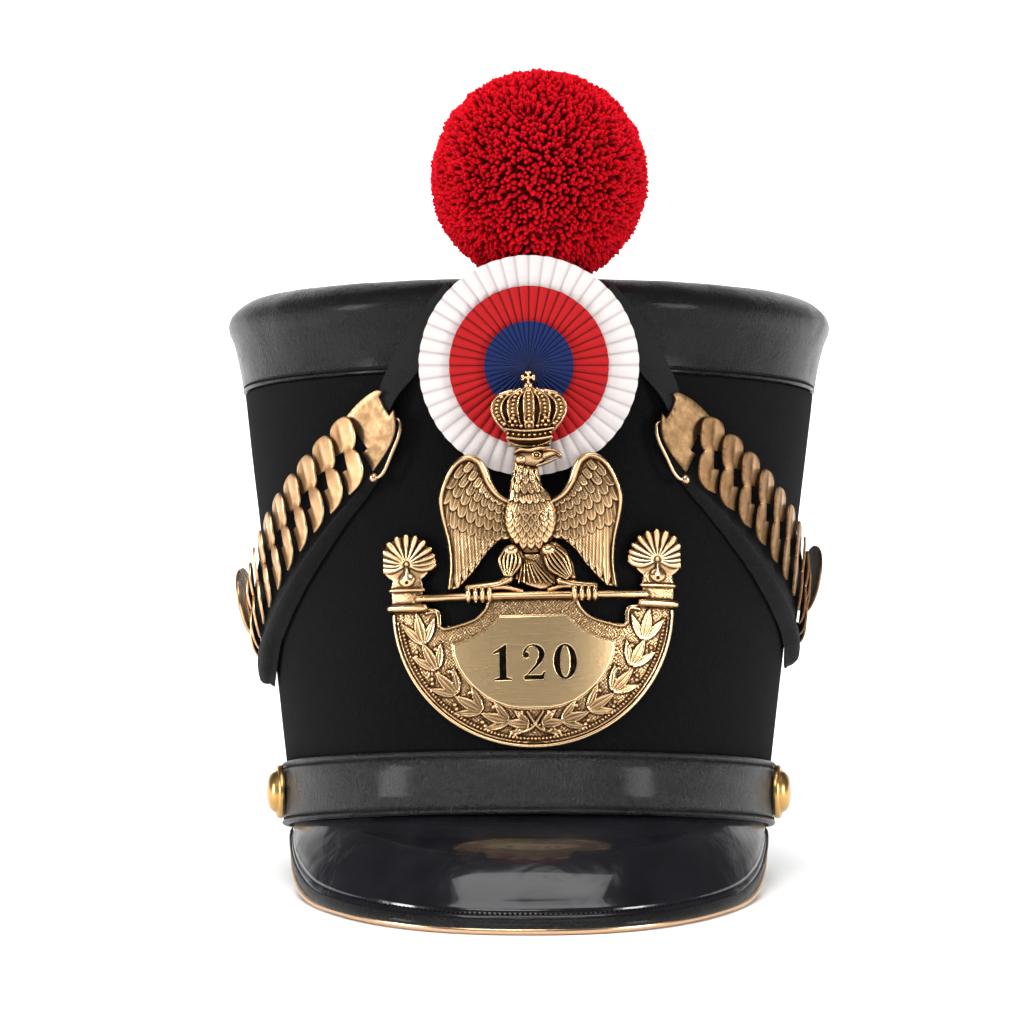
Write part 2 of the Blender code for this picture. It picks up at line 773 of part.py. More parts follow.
def build_chain(side_name):
    build_strap(side_name)
    for index in range(SCALE_COUNT):
        build_scale(index, side_name)
    build_tip_plate(side_name)
    build_hook(side_name)
    build_rosette(side_name)


# ---------------------------------------------------------------- ribbons
# Middle line of a ribbon: (distance from the axis plane, z, width, above what it lies on).
RIBBON_ROUTE = [
    (0.0265, 0.1945, 0.0130, 0.0007),
    (0.0330, 0.1870, 0.0130, 0.0007),
    (0.0390, 0.1800, 0.0125, 0.0007),
    (0.0440, 0.1725, 0.0115, 0.0007),
    (0.0475, 0.1665, 0.0100, 0.0010),
    (0.0500, 0.1610, 0.0080, 0.0030),
    (0.0515, 0.1560, 0.0060, 0.0042),
    (0.0520, 0.1520, 0.0040, 0.0046),
]
RIBBON_THICK = 0.0010


def ribbon_spot(x, z, lift):
    """A point above the top band, or above the felt below it."""
    reach = band_front(z)
    deep = reach + half_depth(z) - half_width(z)
    share = x / reach
    out = Vector((share / reach, -math.sqrt(1.0 - share * share) / deep, 0.0)).normalized()
    return Vector((x, -deep * math.sqrt(1.0 - share * share), z)) + out * lift


def build_ribbon(side, side_name):
    sections = []
    for index, (place, z, width, lift) in enumerate(RIBBON_ROUTE):
        before, after = RIBBON_ROUTE[max(index - 1, 0)], RIBBON_ROUTE[min(index + 1, len(RIBBON_ROUTE) - 1)]
        along = Vector((after[0] - before[0], after[1] - before[1])).normalized()
        under, over = [], []
        for hand in (-0.5, 0.0, 0.5):
            x = side * (place - along.y * width * hand)
            spot_z = z + along.x * width * hand
            under.append(ribbon_spot(x, spot_z, lift))
            over.append(ribbon_spot(x, spot_z, lift + RIBBON_THICK))
        sections.append(under + over[::-1])
    add_part("ribbon_" + side_name, sweep(sections), RIBBON_CLOTH)


# ---------------------------------------------------------------- cockade
def cockade_matrix(stand_off):
    """Local Z is out of the cockade, local Y is up in its plane."""
    out = Vector((0.0, -math.cos(COCKADE_LEAN), -math.sin(COCKADE_LEAN)))
    up = Vector((0.0, -math.sin(COCKADE_LEAN), math.cos(COCKADE_LEAN)))
    y = COCKADE_BACK_Y + math.tan(COCKADE_LEAN) * (ROLL_WIDEST_Z - COCKADE_Z)
    centre = Vector((0.0, y, COCKADE_Z)) + out * stand_off
    return frame_matrix(centre, Vector((1.0, 0.0, 0.0)), up, out)


COCKADE_DISCS = [   # name, radius, rear face above the cockade's back, thickness, folds, finish
    ("cockade_white", 0.0414, 0.0, 0.0018, 36, WHITE_COTTON),
    ("cockade_red", 0.0300, 0.0021, 0.0015, 30, RED_COTTON),
    ("cockade_blue", 0.0168, 0.0039, 0.0014, 24, BLUE_COTTON),
]
FOLD_DEPTH = 0.0007


def build_cockade_disc(name, radius, stand_off, thickness, folds, finish):
    """A pleated disc: its front edge goes up and down once for each fold."""
    bm = bmesh.new()
    bmesh.ops.create_cone(bm, cap_ends=True, cap_tris=True, segments=2 * folds, radius1=radius,
                          radius2=radius, depth=thickness)
    bmesh.ops.translate(bm, verts=bm.verts, vec=(0.0, 0.0, thickness / 2))
    for vert in bm.verts:
        if vert.co.z > thickness / 2 and vert.co.xy.length > radius / 2:
            turn = round(math.atan2(vert.co.y, vert.co.x) / (math.pi / folds))
            if turn % 2:
                vert.co.z -= FOLD_DEPTH
    bmesh.ops.transform(bm, matrix=cockade_matrix(stand_off), verts=bm.verts)
    add_part(name, bm, finish, smooth_angle=10.0)


# ---------------------------------------------------------------- pompom
STEM_TOP_Z = POMPOM_CENTRE.z - 0.016


def stem_cylinder(radius, low, high):
    bm = bmesh.new()
    bmesh.ops.create_cone(bm, cap_ends=True, segments=10, radius1=radius, radius2=radius,
                          depth=high - low)
    bmesh.ops.translate(bm, verts=bm.verts, vec=(POMPOM_CENTRE.x, STEM_Y, (low + high) / 2))
    return bm


def build_pompom_hole():
    mesh = bpy.data.meshes.new("pompom_hole")
    bm = stem_cylinder(STEM_RADIUS + GAP, ROLL_TOP_Z - 0.006, STEM_TOP_Z + GAP)
    bm.to_mesh(mesh)
    bm.free()
    cutter = bpy.data.objects.new("pompom_hole", mesh)
    CUTTERS.objects.link(cutter)
    cutter.parent = REST
    cutter.display_type = "WIRE"
    cutter.hide_render = True
    return cutter


def build_stem():
    add_part("pompom_stem", stem_cylinder(STEM_RADIUS, CROWN_TOP_Z + GAP, STEM_TOP_Z), WOOD)


LOCK_LENGTH = 0.0045
POMPOM_SEAT = -0.0370        # the wool is pressed flat where it lies on the rolled rim


def build_pompom(stem_hole):
    """A round head whose every facet is drawn out into a pointed lock of wool."""
    bm = bmesh.new()
    bmesh.ops.create_icosphere(bm, subdivisions=3, radius=POMPOM_RADIUS - LOCK_LENGTH)
    for number, face in enumerate(list(bm.faces)):
        uneven = 0.80 + 0.20 * math.sin(7.1 * number)
        bmesh.ops.poke(bm, faces=[face], offset=LOCK_LENGTH * uneven, center_mode="MEAN")
    for vert in bm.verts:
        vert.co.z = max(vert.co.z, POMPOM_SEAT)
    bmesh.ops.translate(bm, verts=bm.verts, vec=POMPOM_CENTRE)
    part = add_part("pompom", bm, RED_WOOL, smooth_angle=10.0)
    cut_away(part, stem_hole)


# ---------------------------------------------------------------- plate
# The plate is laid out flat: u to the viewer's right, v up from the shield's lowest point and
# h out of the plate. In that flat space a point is (u, -h, v). It is bent to the hat at the end.
def flat_point(u, v, h):
    return Vector((u, -h, v))


def relief_slab(outline, low, high, chamfer=0.0):
    """A flat raised shape with an optional sloping edge."""
    bm = bmesh.new()
    face = bm.faces.new([bm.verts.new(flat_point(u, v, low)) for u, v in outline])
    grown = bmesh.ops.extrude_face_region(bm, geom=[face])
    bmesh.ops.translate(bm, verts=new_verts(grown), vec=(0.0, low - high + chamfer, 0.0))
    if chamfer:
        top = [f for f in bm.faces if all(abs(v.co.y + high - chamfer) < 1e-7 for v in f.verts)]
        bmesh.ops.recalc_face_normals(bm, faces=bm.faces)
        bmesh.ops.inset_region(bm, faces=top, thickness=chamfer, depth=chamfer)
    face_outward(bm)
    return bm


def relief_hull(points):
    """The smallest raised shape over points (u, v, h)."""
    bm = bmesh.new()
    verts = [bm.verts.new(flat_point(*point)) for point in points]
    made = bmesh.ops.convex_hull(bm, input=verts)
    loose = [item for item in made["geom_interior"] if isinstance(item, bmesh.types.BMVert)]
    bmesh.ops.delete(bm, geom=loose, context="VERTS")
    face_outward(bm)
    return bm


def relief_leaf(start, tip, width, low, high, belly=0.55):
    """A pointed leaf or feather with a ridge, from its stalk to its tip, both (u, v)."""
    start, tip = Vector(start), Vector(tip)
    along = tip - start
    beside = Vector((-along.y, along.x)).normalized() * width / 2
    ring = [start, start + along * belly + beside, tip, start + along * belly - beside]
    ridge = [start + along * 0.25, start + along * 0.85]
    points = [(p.x, p.y, low) for p in ring] + [(p.x, p.y, high) for p in ridge]
    return relief_hull(points)


def relief_block(u, v, half_u, half_v, low, high, slope=0.6):
    """A raised block with sloping sides."""
    points = []
    for side_u in (-1, 1):
        for side_v in (-1, 1):
            points.append((u + side_u * half_u, v + side_v * half_v, low))
            points.append((u + side_u * half_u * slope, v + side_v * half_v * slope, high))
    return relief_hull(points)


def relief_dome(u, v, half_u, half_v, low, high, sides=8):
    """A rounded boss: rings of a squashed ball above the level 'low'."""
    points = []
    for share, rise in ((1.0, 0.0), (0.72, 0.72)):
        for corner in range(sides):
            turn = 2 * math.pi * corner / sides
            points.append((u + half_u * share * math.cos(turn), v + half_v * share * math.sin(turn),
                           low + (high - low) * rise))
    points.append((u, v, high))
    return relief_hull(points)


def relief_bar(start, end, radius, middle):
    """A round bar between two points (u, v), its axis at height 'middle'."""
    start, end = Vector(start), Vector(end)
    beside = Vector((start.y - end.y, end.x - start.x)).normalized()
    points = []
    for spot in (start, end):
        for corner in range(6):
            turn = math.pi * corner / 3
            place = spot + beside * radius * math.cos(turn)
            points.append((place.x, place.y, middle + radius * math.sin(turn)))
    return relief_hull(points)


def shield_point(radius, turn_degrees):
    turn = math.radians(turn_degrees)
    return (radius * math.cos(turn), SHIELD_RADIUS + radius * math.sin(turn))


# Right half of the shield's top edge, from its middle under the rod to the outer horn: (u, v).
SHIELD_TOP = [
    (0.0170, 0.0560),
    (0.0180, 0.0532),
    (0.0217, 0.0495),
    (0.0280, 0.0473),
    (0.0348, 0.0464),
    (0.0358, 0.0528),
    (0.0420, 0.0538),
]
# Right half of the smooth number panel: (u, v).
PANEL = [
    (0.0128, 0.0497),
    (0.0190, 0.0440),
    (0.0305, 0.0396),
    (0.0285, 0.0310),
    (0.0232, 0.0236),
    (0.0150, 0.0175),
    (0.0055, 0.0149),
]
# Right wing outline, from the shoulder round its outside to the armpit: (u, v).
WING = [
    (0.0060, 0.0925),
    (0.0130, 0.0965),
    (0.0155, 0.1020),
    (0.0170, 0.1058),
    (0.0226, 0.1103),
    (0.0285, 0.1075),
    (0.0325, 0.1015),
    (0.0347, 0.0942),
    (0.0339, 0.0868),
    (0.0318, 0.0780),
    (0.0310, 0.0690),
    (0.0322, 0.0600),
    (0.0280, 0.0605),
    (0.0235, 0.0650),
    (0.0200, 0.0690),
    (0.0170, 0.0735),
    (0.0120, 0.0781),
    (0.0060, 0.0785),
]


def mirrored(half):
    """Closes a right half into a whole outline that is the same on both sides."""
    return half + [(-u, v) for u, v in reversed(half)]


def shield_pieces():
    arc = [shield_point(SHIELD_RADIUS - 0.0012, -turn) for turn in range(9, 172, 18)]
    left_top = [(-u, v) for u, v in reversed(SHIELD_TOP)]
    outline = left_top + SHIELD_TOP + [(0.0522, 0.0530)] + arc + [(-0.0522, 0.0530)]
    pieces = [relief_slab(outline, 0.0, SHIELD_THICK)]
    pieces.append(relief_slab(mirrored(PANEL), 0.0003, 0.0021, 0.0003))
    rim = bmesh.new()
    section = [(-0.0024, 0.0002), (-0.0019, 0.0021), (-0.0008, 0.0021), (0.0003, 0.0002)]
    cut = [rim.verts.new(flat_point(SHIELD_RADIUS + out, SHIELD_RADIUS, h)) for out, h in section]
    face = rim.faces.new(cut)
    bmesh.ops.spin(rim, geom=[face] + list(rim.edges) + cut, cent=flat_point(0, SHIELD_RADIUS, 0),
                   axis=(0.0, 1.0, 0.0), angle=math.pi, steps=16)
    face_outward(rim)
    pieces.append(rim)
    return pieces


LAUREL_RADIUS = 0.0415
LAUREL_GROUPS = 4
LAUREL_FIRST = 13.0         # degrees from the lowest point to the first group
LAUREL_STEP = 17.5


def laurel_pieces():
    """Two branches that cross at the bottom, in groups of three leaves that point upward."""
    pieces = []
    for side in (-1, 1):
        for group in range(LAUREL_GROUPS):
            turn = LAUREL_FIRST + LAUREL_STEP * group
            for swing, reach, width in ((0.0, 0.0118, 0.0042), (30.0, 0.0098, 0.0038),
                                        (-30.0, 0.0098, 0.0038)):
                start = shield_point(LAUREL_RADIUS, side * turn - 90)
                heading = math.radians(side * (turn + swing + 4.0))
                tip = (start[0] + side * reach * math.cos(heading * side),
                       start[1] + reach * math.sin(heading * side))
                pieces.append(relief_leaf(start, tip, width, 0.0008, 0.0024))
    return pieces


ROD_V = 0.0574
ROD_RADIUS = 0.0016
ROD_MIDDLE = 0.0021
TORCH_U = 0.0472
FLAME_V = 0.0737
FLAME_RADIUS = 0.0114
FLAME_RIBS = 9


def torch_pieces(side):
    """A ribbed bowl with two ledges, and a fan of flames over it."""
    middle = side * TORCH_U
    pieces = [
        relief_block(middle, 0.0535, 0.0078, 0.0019, 0.0002, 0.0040, 0.82),
        relief_block(middle, 0.0580, 0.0060, 0.0032, 0.0003, 0.0030, 0.85),
        relief_block(middle, 0.0622, 0.0070, 0.0013, 0.0002, 0.0034, 0.85),
        relief_hull([(middle - 0.0062, 0.0625, 0.0004), (middle + 0.0062, 0.0625, 0.0004),
                     (middle - 0.0030, 0.0700, 0.0004), (middle + 0.0030, 0.0700, 0.0004),
                     (middle - 0.0040, 0.0630, 0.0029), (middle + 0.0040, 0.0630, 0.0029),
                     (middle, 0.0690, 0.0029)]),
    ]
    pieces.append(relief_fan(middle, FLAME_V, FLAME_RADIUS, FLAME_RIBS, 0.0005, 0.0036))
    return pieces


def relief_fan(u, v, radius, ribs, low, high):
    """A round fan whose ribs are long and high, with short low valleys between them."""
    bm = bmesh.new()
    bmesh.ops.create_cone(bm, cap_ends=True, cap_tris=True, segments=2 * ribs, radius1=radius,
                          radius2=radius, depth=1.0)
    for vert in bm.verts:
        front = vert.co.z > 0
        turn = math.atan2(vert.co.y, vert.co.x)
        reach = vert.co.xy.length
        valley = reach > radius / 2 and round(turn * ribs / math.pi) % 2
        share = 0.86 if valley else 1.0
        rise = (high - 0.0012 if valley else high) if reach > radius / 2 else high - 0.0004
        vert.co = flat_point(u + reach * share * math.sin(turn), v + reach * share * math.cos(turn),
                             rise if front else low)
    face_outward(bm)
    return bm


PRIMARIES = [   # long feathers of the right wing: (root u, root v, tip u, tip v)
    (0.0120, 0.0900, 0.0155, 0.0736),
    (0.0158, 0.0900, 0.0195, 0.0692),
    (0.0200, 0.0900, 0.0236, 0.0642),
    (0.0246, 0.0905, 0.0278, 0.0600),
    (0.0298, 0.0915, 0.0314, 0.0590),
]
COVERTS = [     # short feathers over them
    (0.0142, 0.0990, 0.0142, 0.0860),
    (0.0190, 0.1040, 0.0196, 0.0880),
    (0.0244, 0.1055, 0.0256, 0.0890),
    (0.0296, 0.1015, 0.0318, 0.0870),
]


def wing_pieces(side):
    outline = [(side * u, v) for u, v in WING]
    pieces = [relief_slab(outline, 0.0001 if side > 0 else 0.0, 0.0017)]
    for root_u, root_v, tip_u, tip_v in PRIMARIES:
        pieces.append(relief_leaf((side * root_u, root_v), (side * tip_u, tip_v), 0.0042, 0.0007, 0.0026))
    for root_u, root_v, tip_u, tip_v in COVERTS:
        pieces.append(relief_leaf((side * root_u, root_v), (side * tip_u, tip_v), 0.0050, 0.0009, 0.0034))
    return pieces


# Raised parts of the eagle's body: (u, v, half width, half height, from, to).
EAGLE_DOMES = [
    (0.0000, 0.0860, 0.0100, 0.0130, 0.0004, 0.0078),
    (-0.0072, 0.0697, 0.0064, 0.0082, 0.0005, 0.0064),
    (0.0098, 0.0697, 0.0068, 0.0088, 0.0006, 0.0064),
    (0.0008, 0.1068, 0.0062, 0.0054, 0.0007, 0.0066),
]


def eagle_pieces():
    """Body, neck, head turned to the viewer's right, thighs, tail and claws on the rod."""
    pieces = [relief_dome(*dome) for dome in EAGLE_DOMES]
    pieces.append(relief_hull([
        (-0.0082, 0.0900, 0.0008), (0.0082, 0.0900, 0.0008), (-0.0050, 0.1045, 0.0008),
        (0.0054, 0.1045, 0.0008), (-0.0045, 0.0930, 0.0068), (0.0045, 0.0930, 0.0068),
        (0.0000, 0.1050, 0.0062)]))
    pieces.append(relief_hull([
        (0.0050, 0.1100, 0.0010), (0.0052, 0.1040, 0.0010), (0.0100, 0.1098, 0.0010),
        (0.0128, 0.1058, 0.0012), (0.0055, 0.1085, 0.0052), (0.0055, 0.1062, 0.0052),
        (0.0112, 0.1080, 0.0040)]))
    pieces.append(relief_hull([
        (-0.0045, 0.0740, 0.0009), (0.0045, 0.0740, 0.0009), (-0.0075, 0.0625, 0.0009),
        (0.0075, 0.0625, 0.0009), (0.0, 0.0592, 0.0009), (0.0, 0.0735, 0.0036),
        (0.0, 0.0610, 0.0036)]))
    for side, ankle, foot in ((-1, (-0.0100, 0.0640), (-0.0195, 0.0590)),
                              (1, (0.0140, 0.0640), (0.0200, 0.0590))):
        pieces.append(relief_leaf(ankle, foot, 0.0034, 0.0010, 0.0044, 0.3))
        for toe in range(3):
            u = foot[0] + 0.0034 * (toe - 1)
            pieces.append(relief_block(u, 0.0578, 0.0013, 0.0036, 0.0011, 0.0050, 0.7))
    return pieces


# Crown, half of it: an arch from the band (u, v, h) over the bulge to the orb.
ARCH = [
    (0.0042, 0.1185, 0.0062),
    (0.0060, 0.1262, 0.0072),
    (0.0018, 0.1330, 0.0056),
]


def crown_pieces():
    """Jewelled band, a bulging cap with five arches, an orb and a cross."""
    pieces = [
        relief_hull([(-0.0080, 0.1108, 0.0009), (0.0080, 0.1108, 0.0009), (-0.0092, 0.1195, 0.0009),
                     (0.0092, 0.1195, 0.0009), (-0.0058, 0.1125, 0.0058), (0.0058, 0.1125, 0.0058),
                     (-0.0066, 0.1192, 0.0060), (0.0066, 0.1192, 0.0060)]),
        relief_dome(0.0, 0.1258, 0.0132, 0.0078, 0.0008, 0.0052),
        relief_block(0.0, 0.1345, 0.0019, 0.0022, 0.0010, 0.0060, 0.5),
        relief_block(0.0, 0.1379, 0.0027, 0.0011, 0.0012, 0.0046, 0.6),
        relief_block(0.0, 0.1378, 0.0011, 0.0026, 0.0011, 0.0048, 0.6),
    ]
    for arch in (-2, -1, 0, 1, 2):
        points = []
        for u, v, rise in ARCH:
            middle = arch * u
            points += [(middle - 0.0012, v, 0.0013), (middle + 0.0012, v, 0.0013),
                       (middle, v, rise - 0.0006 * abs(arch))]
        pieces.append(relief_hull(points))
    return pieces


FRONT_FOOT_Z = 0.100        # below this height the plate follows the felt
FRONT_HEAD_Z = 0.1235       # above this height it stands in front of the cockade
STACK_DEPTH = [             # (z, cockade thickness to clear there)
    (0.1255, 0.0026),
    (0.1360, 0.0044),
    (0.1485, 0.0062),
    (0.1700, 0.0062),
]


def plate_rear_y(x, z):
    """Rear face of the plate: on the felt below, and bent forward in front of the cockade above."""
    on_felt = wall_front_y(x, z, PLATE_SEAT)
    before_cockade = (COCKADE_BACK_Y + math.tan(COCKADE_LEAN) * (ROLL_WIDEST_Z - z)
                      - interpolate(STACK_DEPTH, z)[0])
    share = min(max((z - FRONT_FOOT_Z) / (FRONT_HEAD_Z - FRONT_FOOT_Z), 0.0), 1.0)
    share = share * share * (3.0 - 2.0 * share)
    return on_felt + (before_cockade - on_felt) * share


BEND_STEP = 0.0150          # large facets are cut this fine before the plate is bent


def cut_large_facets(bm):
    """Cuts only the facets that are too long to follow the curved wall."""
    for axis, low, high in ((0, -0.0450, 0.0450), (2, 0.0754, 0.1054)):
        normal = Vector((0.0, 0.0, 0.0))
        normal[axis] = 1.0
        place = low
        while place <= high + 1e-6:
            wide = []
            for face in bm.faces:
                spread = [vert.co[axis] for vert in face.verts]
                if min(spread) < place < max(spread) and max(spread) - min(spread) > BEND_STEP * 1.3:
                    wide.append(face)
            edges = {edge for face in wide for edge in face.edges}
            verts = {vert for face in wide for vert in face.verts}
            if wide:
                bmesh.ops.bisect_plane(bm, geom=wide + list(edges) + list(verts), dist=1e-5,
                                       plane_co=normal * place, plane_no=normal)
            place += BEND_STEP
    bmesh.ops.triangulate(bm, faces=bm.faces)


def build_plate():
    pieces = shield_pieces() + laurel_pieces() + eagle_pieces() + crown_pieces()
    pieces.append(relief_bar((-0.0430, ROD_V), (0.0430, ROD_V), ROD_RADIUS, ROD_MIDDLE))
    for side in (-1, 1):
        pieces += torch_pieces(side) + wing_pieces(side)
    bm = fused(pieces)
    bmesh.ops.remove_doubles(bm, verts=bm.verts, dist=2e-6)
    cut_large_facets(bm)
    for vert in bm.verts:
        u, h, v = vert.co.x, -vert.co.y, vert.co.z
        x = PLATE_X + u * math.cos(PLATE_TURN) - v * math.sin(PLATE_TURN)
        z = PLATE_FOOT_Z + v * math.cos(PLATE_TURN) + u * math.sin(PLATE_TURN)
        vert.co = (x, plate_rear_y(x, z) - h, z)
    add_part("shako_plate", bm, BRASS)


# ---------------------------------------------------------------- the whole hat, at rest
def rest_on_table():
    """Leans the hat back on to the table and puts the middle of its footprint at the origin."""
    REST.rotation_euler = (-LEAN, 0.0, 0.0)
    REST.location = (0.0, 0.0, REAR_REST_Y * math.sin(LEAN))
    graph = bpy.context.evaluated_depsgraph_get()
    graph.update()
    corners = []
    for part in PARTS.objects:
        if part.type == "MESH":
            whole = part.evaluated_get(graph)
            corners += [whole.matrix_world @ vert.co for vert in whole.data.vertices]
    for axis in (0, 1):
        values = [corner[axis] for corner in corners]
        REST.location[axis] = -(min(values) + max(values)) / 2


def main():
    floor = floor_cutter()
    build_crown_body(floor)
    build_crown_top()
    build_top_band()
    build_base_band(floor)
    build_peak()
    build_peak_rim()
    for side, side_name in ((-1, "left"), (1, "right")):
        build_boss(side, "boss_" + side_name)
        build_chain(side_name)
        build_ribbon(side, side_name)
    for disc in COCKADE_DISCS:
        build_cockade_disc(*disc)
    build_plate()
    build_stem()
    build_pompom(build_pompom_hole())
    rest_on_table()


main()
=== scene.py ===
# %% [markdown]
# # A black felt shako, piece by piece
# The solids of this hat are packed already: they say where each piece sits and how big it is.
# This notebook dresses them. The first lines load the imported solids as a fixed frame. Nothing
# that is made here may make the hat bigger.

# %% Load the imported hat
import math

import bmesh
import bpy
import numpy as np
from mathutils import Matrix, Vector, noise


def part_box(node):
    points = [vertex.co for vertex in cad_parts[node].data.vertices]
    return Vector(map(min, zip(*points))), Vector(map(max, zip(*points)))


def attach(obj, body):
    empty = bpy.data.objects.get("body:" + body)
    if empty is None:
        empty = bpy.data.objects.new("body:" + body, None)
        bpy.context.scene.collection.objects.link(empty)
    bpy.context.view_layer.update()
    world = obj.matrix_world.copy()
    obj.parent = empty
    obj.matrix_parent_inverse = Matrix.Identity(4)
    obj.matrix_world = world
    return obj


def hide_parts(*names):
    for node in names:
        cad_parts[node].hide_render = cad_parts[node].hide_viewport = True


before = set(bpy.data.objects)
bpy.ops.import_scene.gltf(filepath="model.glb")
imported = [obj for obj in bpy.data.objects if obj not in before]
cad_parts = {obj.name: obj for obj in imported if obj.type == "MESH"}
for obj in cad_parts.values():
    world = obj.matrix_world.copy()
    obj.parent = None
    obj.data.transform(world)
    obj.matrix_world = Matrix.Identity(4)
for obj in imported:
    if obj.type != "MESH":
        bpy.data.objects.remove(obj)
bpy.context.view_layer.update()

# %% [markdown]
# ## The hat's own frame
# A real shako stands by itself on the rear of its lower edge and on the front of its peak, so it
# leans back. It could be modelled leaning, but every height and width is easier to think about on
# an upright hat. So each piece is made upright, with z = 0 at the foot of the wall and the front
# along -Y, and one matrix then leans it back. How far the hat leans comes from two places that
# touch the table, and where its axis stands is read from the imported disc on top.

# %% How the hat rests
HEEL_Y = 0.097              # the foot's rear, where it touches the table
LIP_DROP = 0.0470           # the peak's front edge below the foot
LIP_REACH = 0.1470          # and in front of the axis
LEAN = math.atan2(LIP_DROP, HEEL_Y + LIP_REACH)
CROWN_DISC_MIDDLE_Z = 0.18675

disc_low, disc_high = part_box("crown_top")
axis_y = (disc_low.y + disc_high.y) / 2 - CROWN_DISC_MIDDLE_Z * math.sin(LEAN)
HAT = Matrix.Translation((0.0, axis_y, HEEL_Y * math.sin(LEAN))) @ Matrix.Rotation(-LEAN, 4, "X")
print("the hat leans back by", round(math.degrees(LEAN), 1), "degrees")

# %% [markdown]
# ## The oval wall
# A head is deeper than it is wide, and a shako widens upward. Two straight lines, one for the half
# width and one for the half depth, give the whole felt wall. Everything that sits on the wall asks
# these functions where the wall is. Measurements come in rows of millimetres, as a ruler gives them.

# %% Where the felt wall is
RING_STEPS = 160            # facets round the hat
UP = Vector((0.0, 0.0, 1.0))


def half_width(z):
    return 0.0905 + 0.1147 * z


def half_depth(z):
    return 0.1036 + 0.0583 * z


def wall_point(azimuth, z, stand_off=0.0):
    """A point of the wall; azimuth 0 is the front, positive to the viewer's right."""
    across = (half_width(z) + stand_off) * math.sin(azimuth)
    forward = (half_depth(z) + stand_off) * math.cos(azimuth)
    return Vector((across, -forward, z))


def wall_normal(azimuth, z):
    round_wall = wall_point(azimuth + 0.01, z) - wall_point(azimuth - 0.01, z)
    up_wall = wall_point(azimuth, z + 0.0005) - wall_point(azimuth, z - 0.0005)
    return round_wall.cross(up_wall).normalized()


def wall_front_y(x, z, stand_off):
    """How far forward the front of the wall reaches at (x, z)."""
    share = min(abs(x) / (half_width(z) + stand_off), 0.999)
    return -(half_depth(z) + stand_off) * math.sqrt(1.0 - share * share)


def mm(rows):
    """Rows of millimetres as rows of metres."""
    return [tuple(value / 1000.0 for value in row) for row in rows]


def read_table(table, place):
    """Straight-line reading of rows (place, value, ...)."""
    if place <= table[0][0]:
        return table[0][1:]
    for low, high in zip(table, table[1:]):
        if place <= high[0]:
            share = (place - low[0]) / (high[0] - low[0])
            return tuple(a + share * (b - a) for a, b in zip(low[1:], high[1:]))
    return table[-1][1:]


def ease(share):
    share = min(max(share, 0.0), 1.0)
    return share * share * (3.0 - 2.0 * share)


def unevenness(spot, size, seed=0.0):
    """Smooth random unevenness from -1 to 1, whose bumps are about that size in metres."""
    return noise.noise(Vector(spot) / size + Vector((seed, 1.7 * seed, -seed)))

# %% [markdown]
# ## From a mesh to a piece of the hat
# Every piece goes the same way: it is made upright, leaned back with the hat, lets its own weight
# flatten what would be under the table, and rides on the body that MuJoCo moves. Faces are shaded
# smooth, apart from edges that are sharper than a given angle.

# %% A piece of the hat
SAME_PLACE = 1e-7           # metres; nearer than this, two points are one
made_pieces = []


def placed(name, data):
    thing = bpy.data.objects.new(name, data)
    bpy.context.scene.collection.objects.link(thing)
    return thing


def smooth_object(name, bm, finish):
    mesh = bpy.data.meshes.new(name)
    bm.to_mesh(mesh)
    bm.free()
    mesh.shade_smooth()
    mesh.materials.append(finish)
    return placed(name, mesh)


def piece_from(name, bm, finish, stands_for, sharp=40.0):
    bmesh.ops.transform(bm, matrix=HAT, verts=bm.verts)
    for vert in bm.verts:
        vert.co.z = max(vert.co.z, 0.0)
    piece = smooth_object(name, bm, finish)
    piece.data.set_sharp_from_angle(angle=math.radians(sharp))
    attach(piece, "root")
    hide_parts(*stands_for)
    made_pieces.append(piece)
    piece.data.calc_loop_triangles()
    print(f"{name}: {len(piece.data.loop_triangles)} triangles")
    return piece


def oval(bm):
    """Makes a round shape as oval as the head."""
    for vert in bm.verts:
        radius = vert.co.xy.length
        if radius > 1e-6:
            vert.co.y *= 1.0 + (half_depth(vert.co.z) - half_width(vert.co.z)) / radius

# %% [markdown]
# Four ways of making a shape come back again and again. A line of points is spun round the axis, a
# few points are joined by a smooth line, a run of sections is skinned, and one small shape is
# scattered many times over. They are functions here, so that a piece needs only its own measures.

# %% Spun, rounded, swept and scattered shapes
def spun_line(points, steps):
    """Spins a line of points once round the upright axis."""
    bm = bmesh.new()
    verts = [bm.verts.new(point) for point in points]
    edges = [bm.edges.new(pair) for pair in zip(verts, verts[1:])]
    bmesh.ops.spin(bm, geom=verts + edges, cent=(0.0, 0.0, 0.0), axis=(0.0, 0.0, 1.0),
                   angle=2.0 * math.pi, steps=steps, use_merge=True)
    bmesh.ops.remove_doubles(bm, verts=bm.verts, dist=SAME_PLACE)
    bmesh.ops.dissolve_degenerate(bm, dist=SAME_PLACE / 10.0, edges=bm.edges)
    bmesh.ops.recalc_face_normals(bm, faces=bm.faces)
    return bm


def spun(section, steps=RING_STEPS):
    """Spins a cut section of rows (z, radius) into a closed ring."""
    return spun_line([(0.0, -radius, z) for z, radius in section + section[:1]], steps)


def rounded(points, pieces=6, closed=False):
    """A smooth line through points, as a Catmull-Rom curve reads them."""
    count = len(points)
    line = []
    for index in range(count if closed else count - 1):
        near = [index + k if not closed else (index + k) % count for k in (-1, 0, 1, 2)]
        p0, p1, p2, p3 = (Vector(points[min(max(place, 0), count - 1)]) for place in near)
        for step in range(pieces):
            t = step / pieces
            line.append(0.5 * ((2 * p1) + (p2 - p0) * t + (2 * p0 - 5 * p1 + 4 * p2 - p3) * t * t
                               + (3 * p1 - p0 - 3 * p2 + p3) * t ** 3))
    if not closed:
        line.append(Vector(points[-1]))
    return line


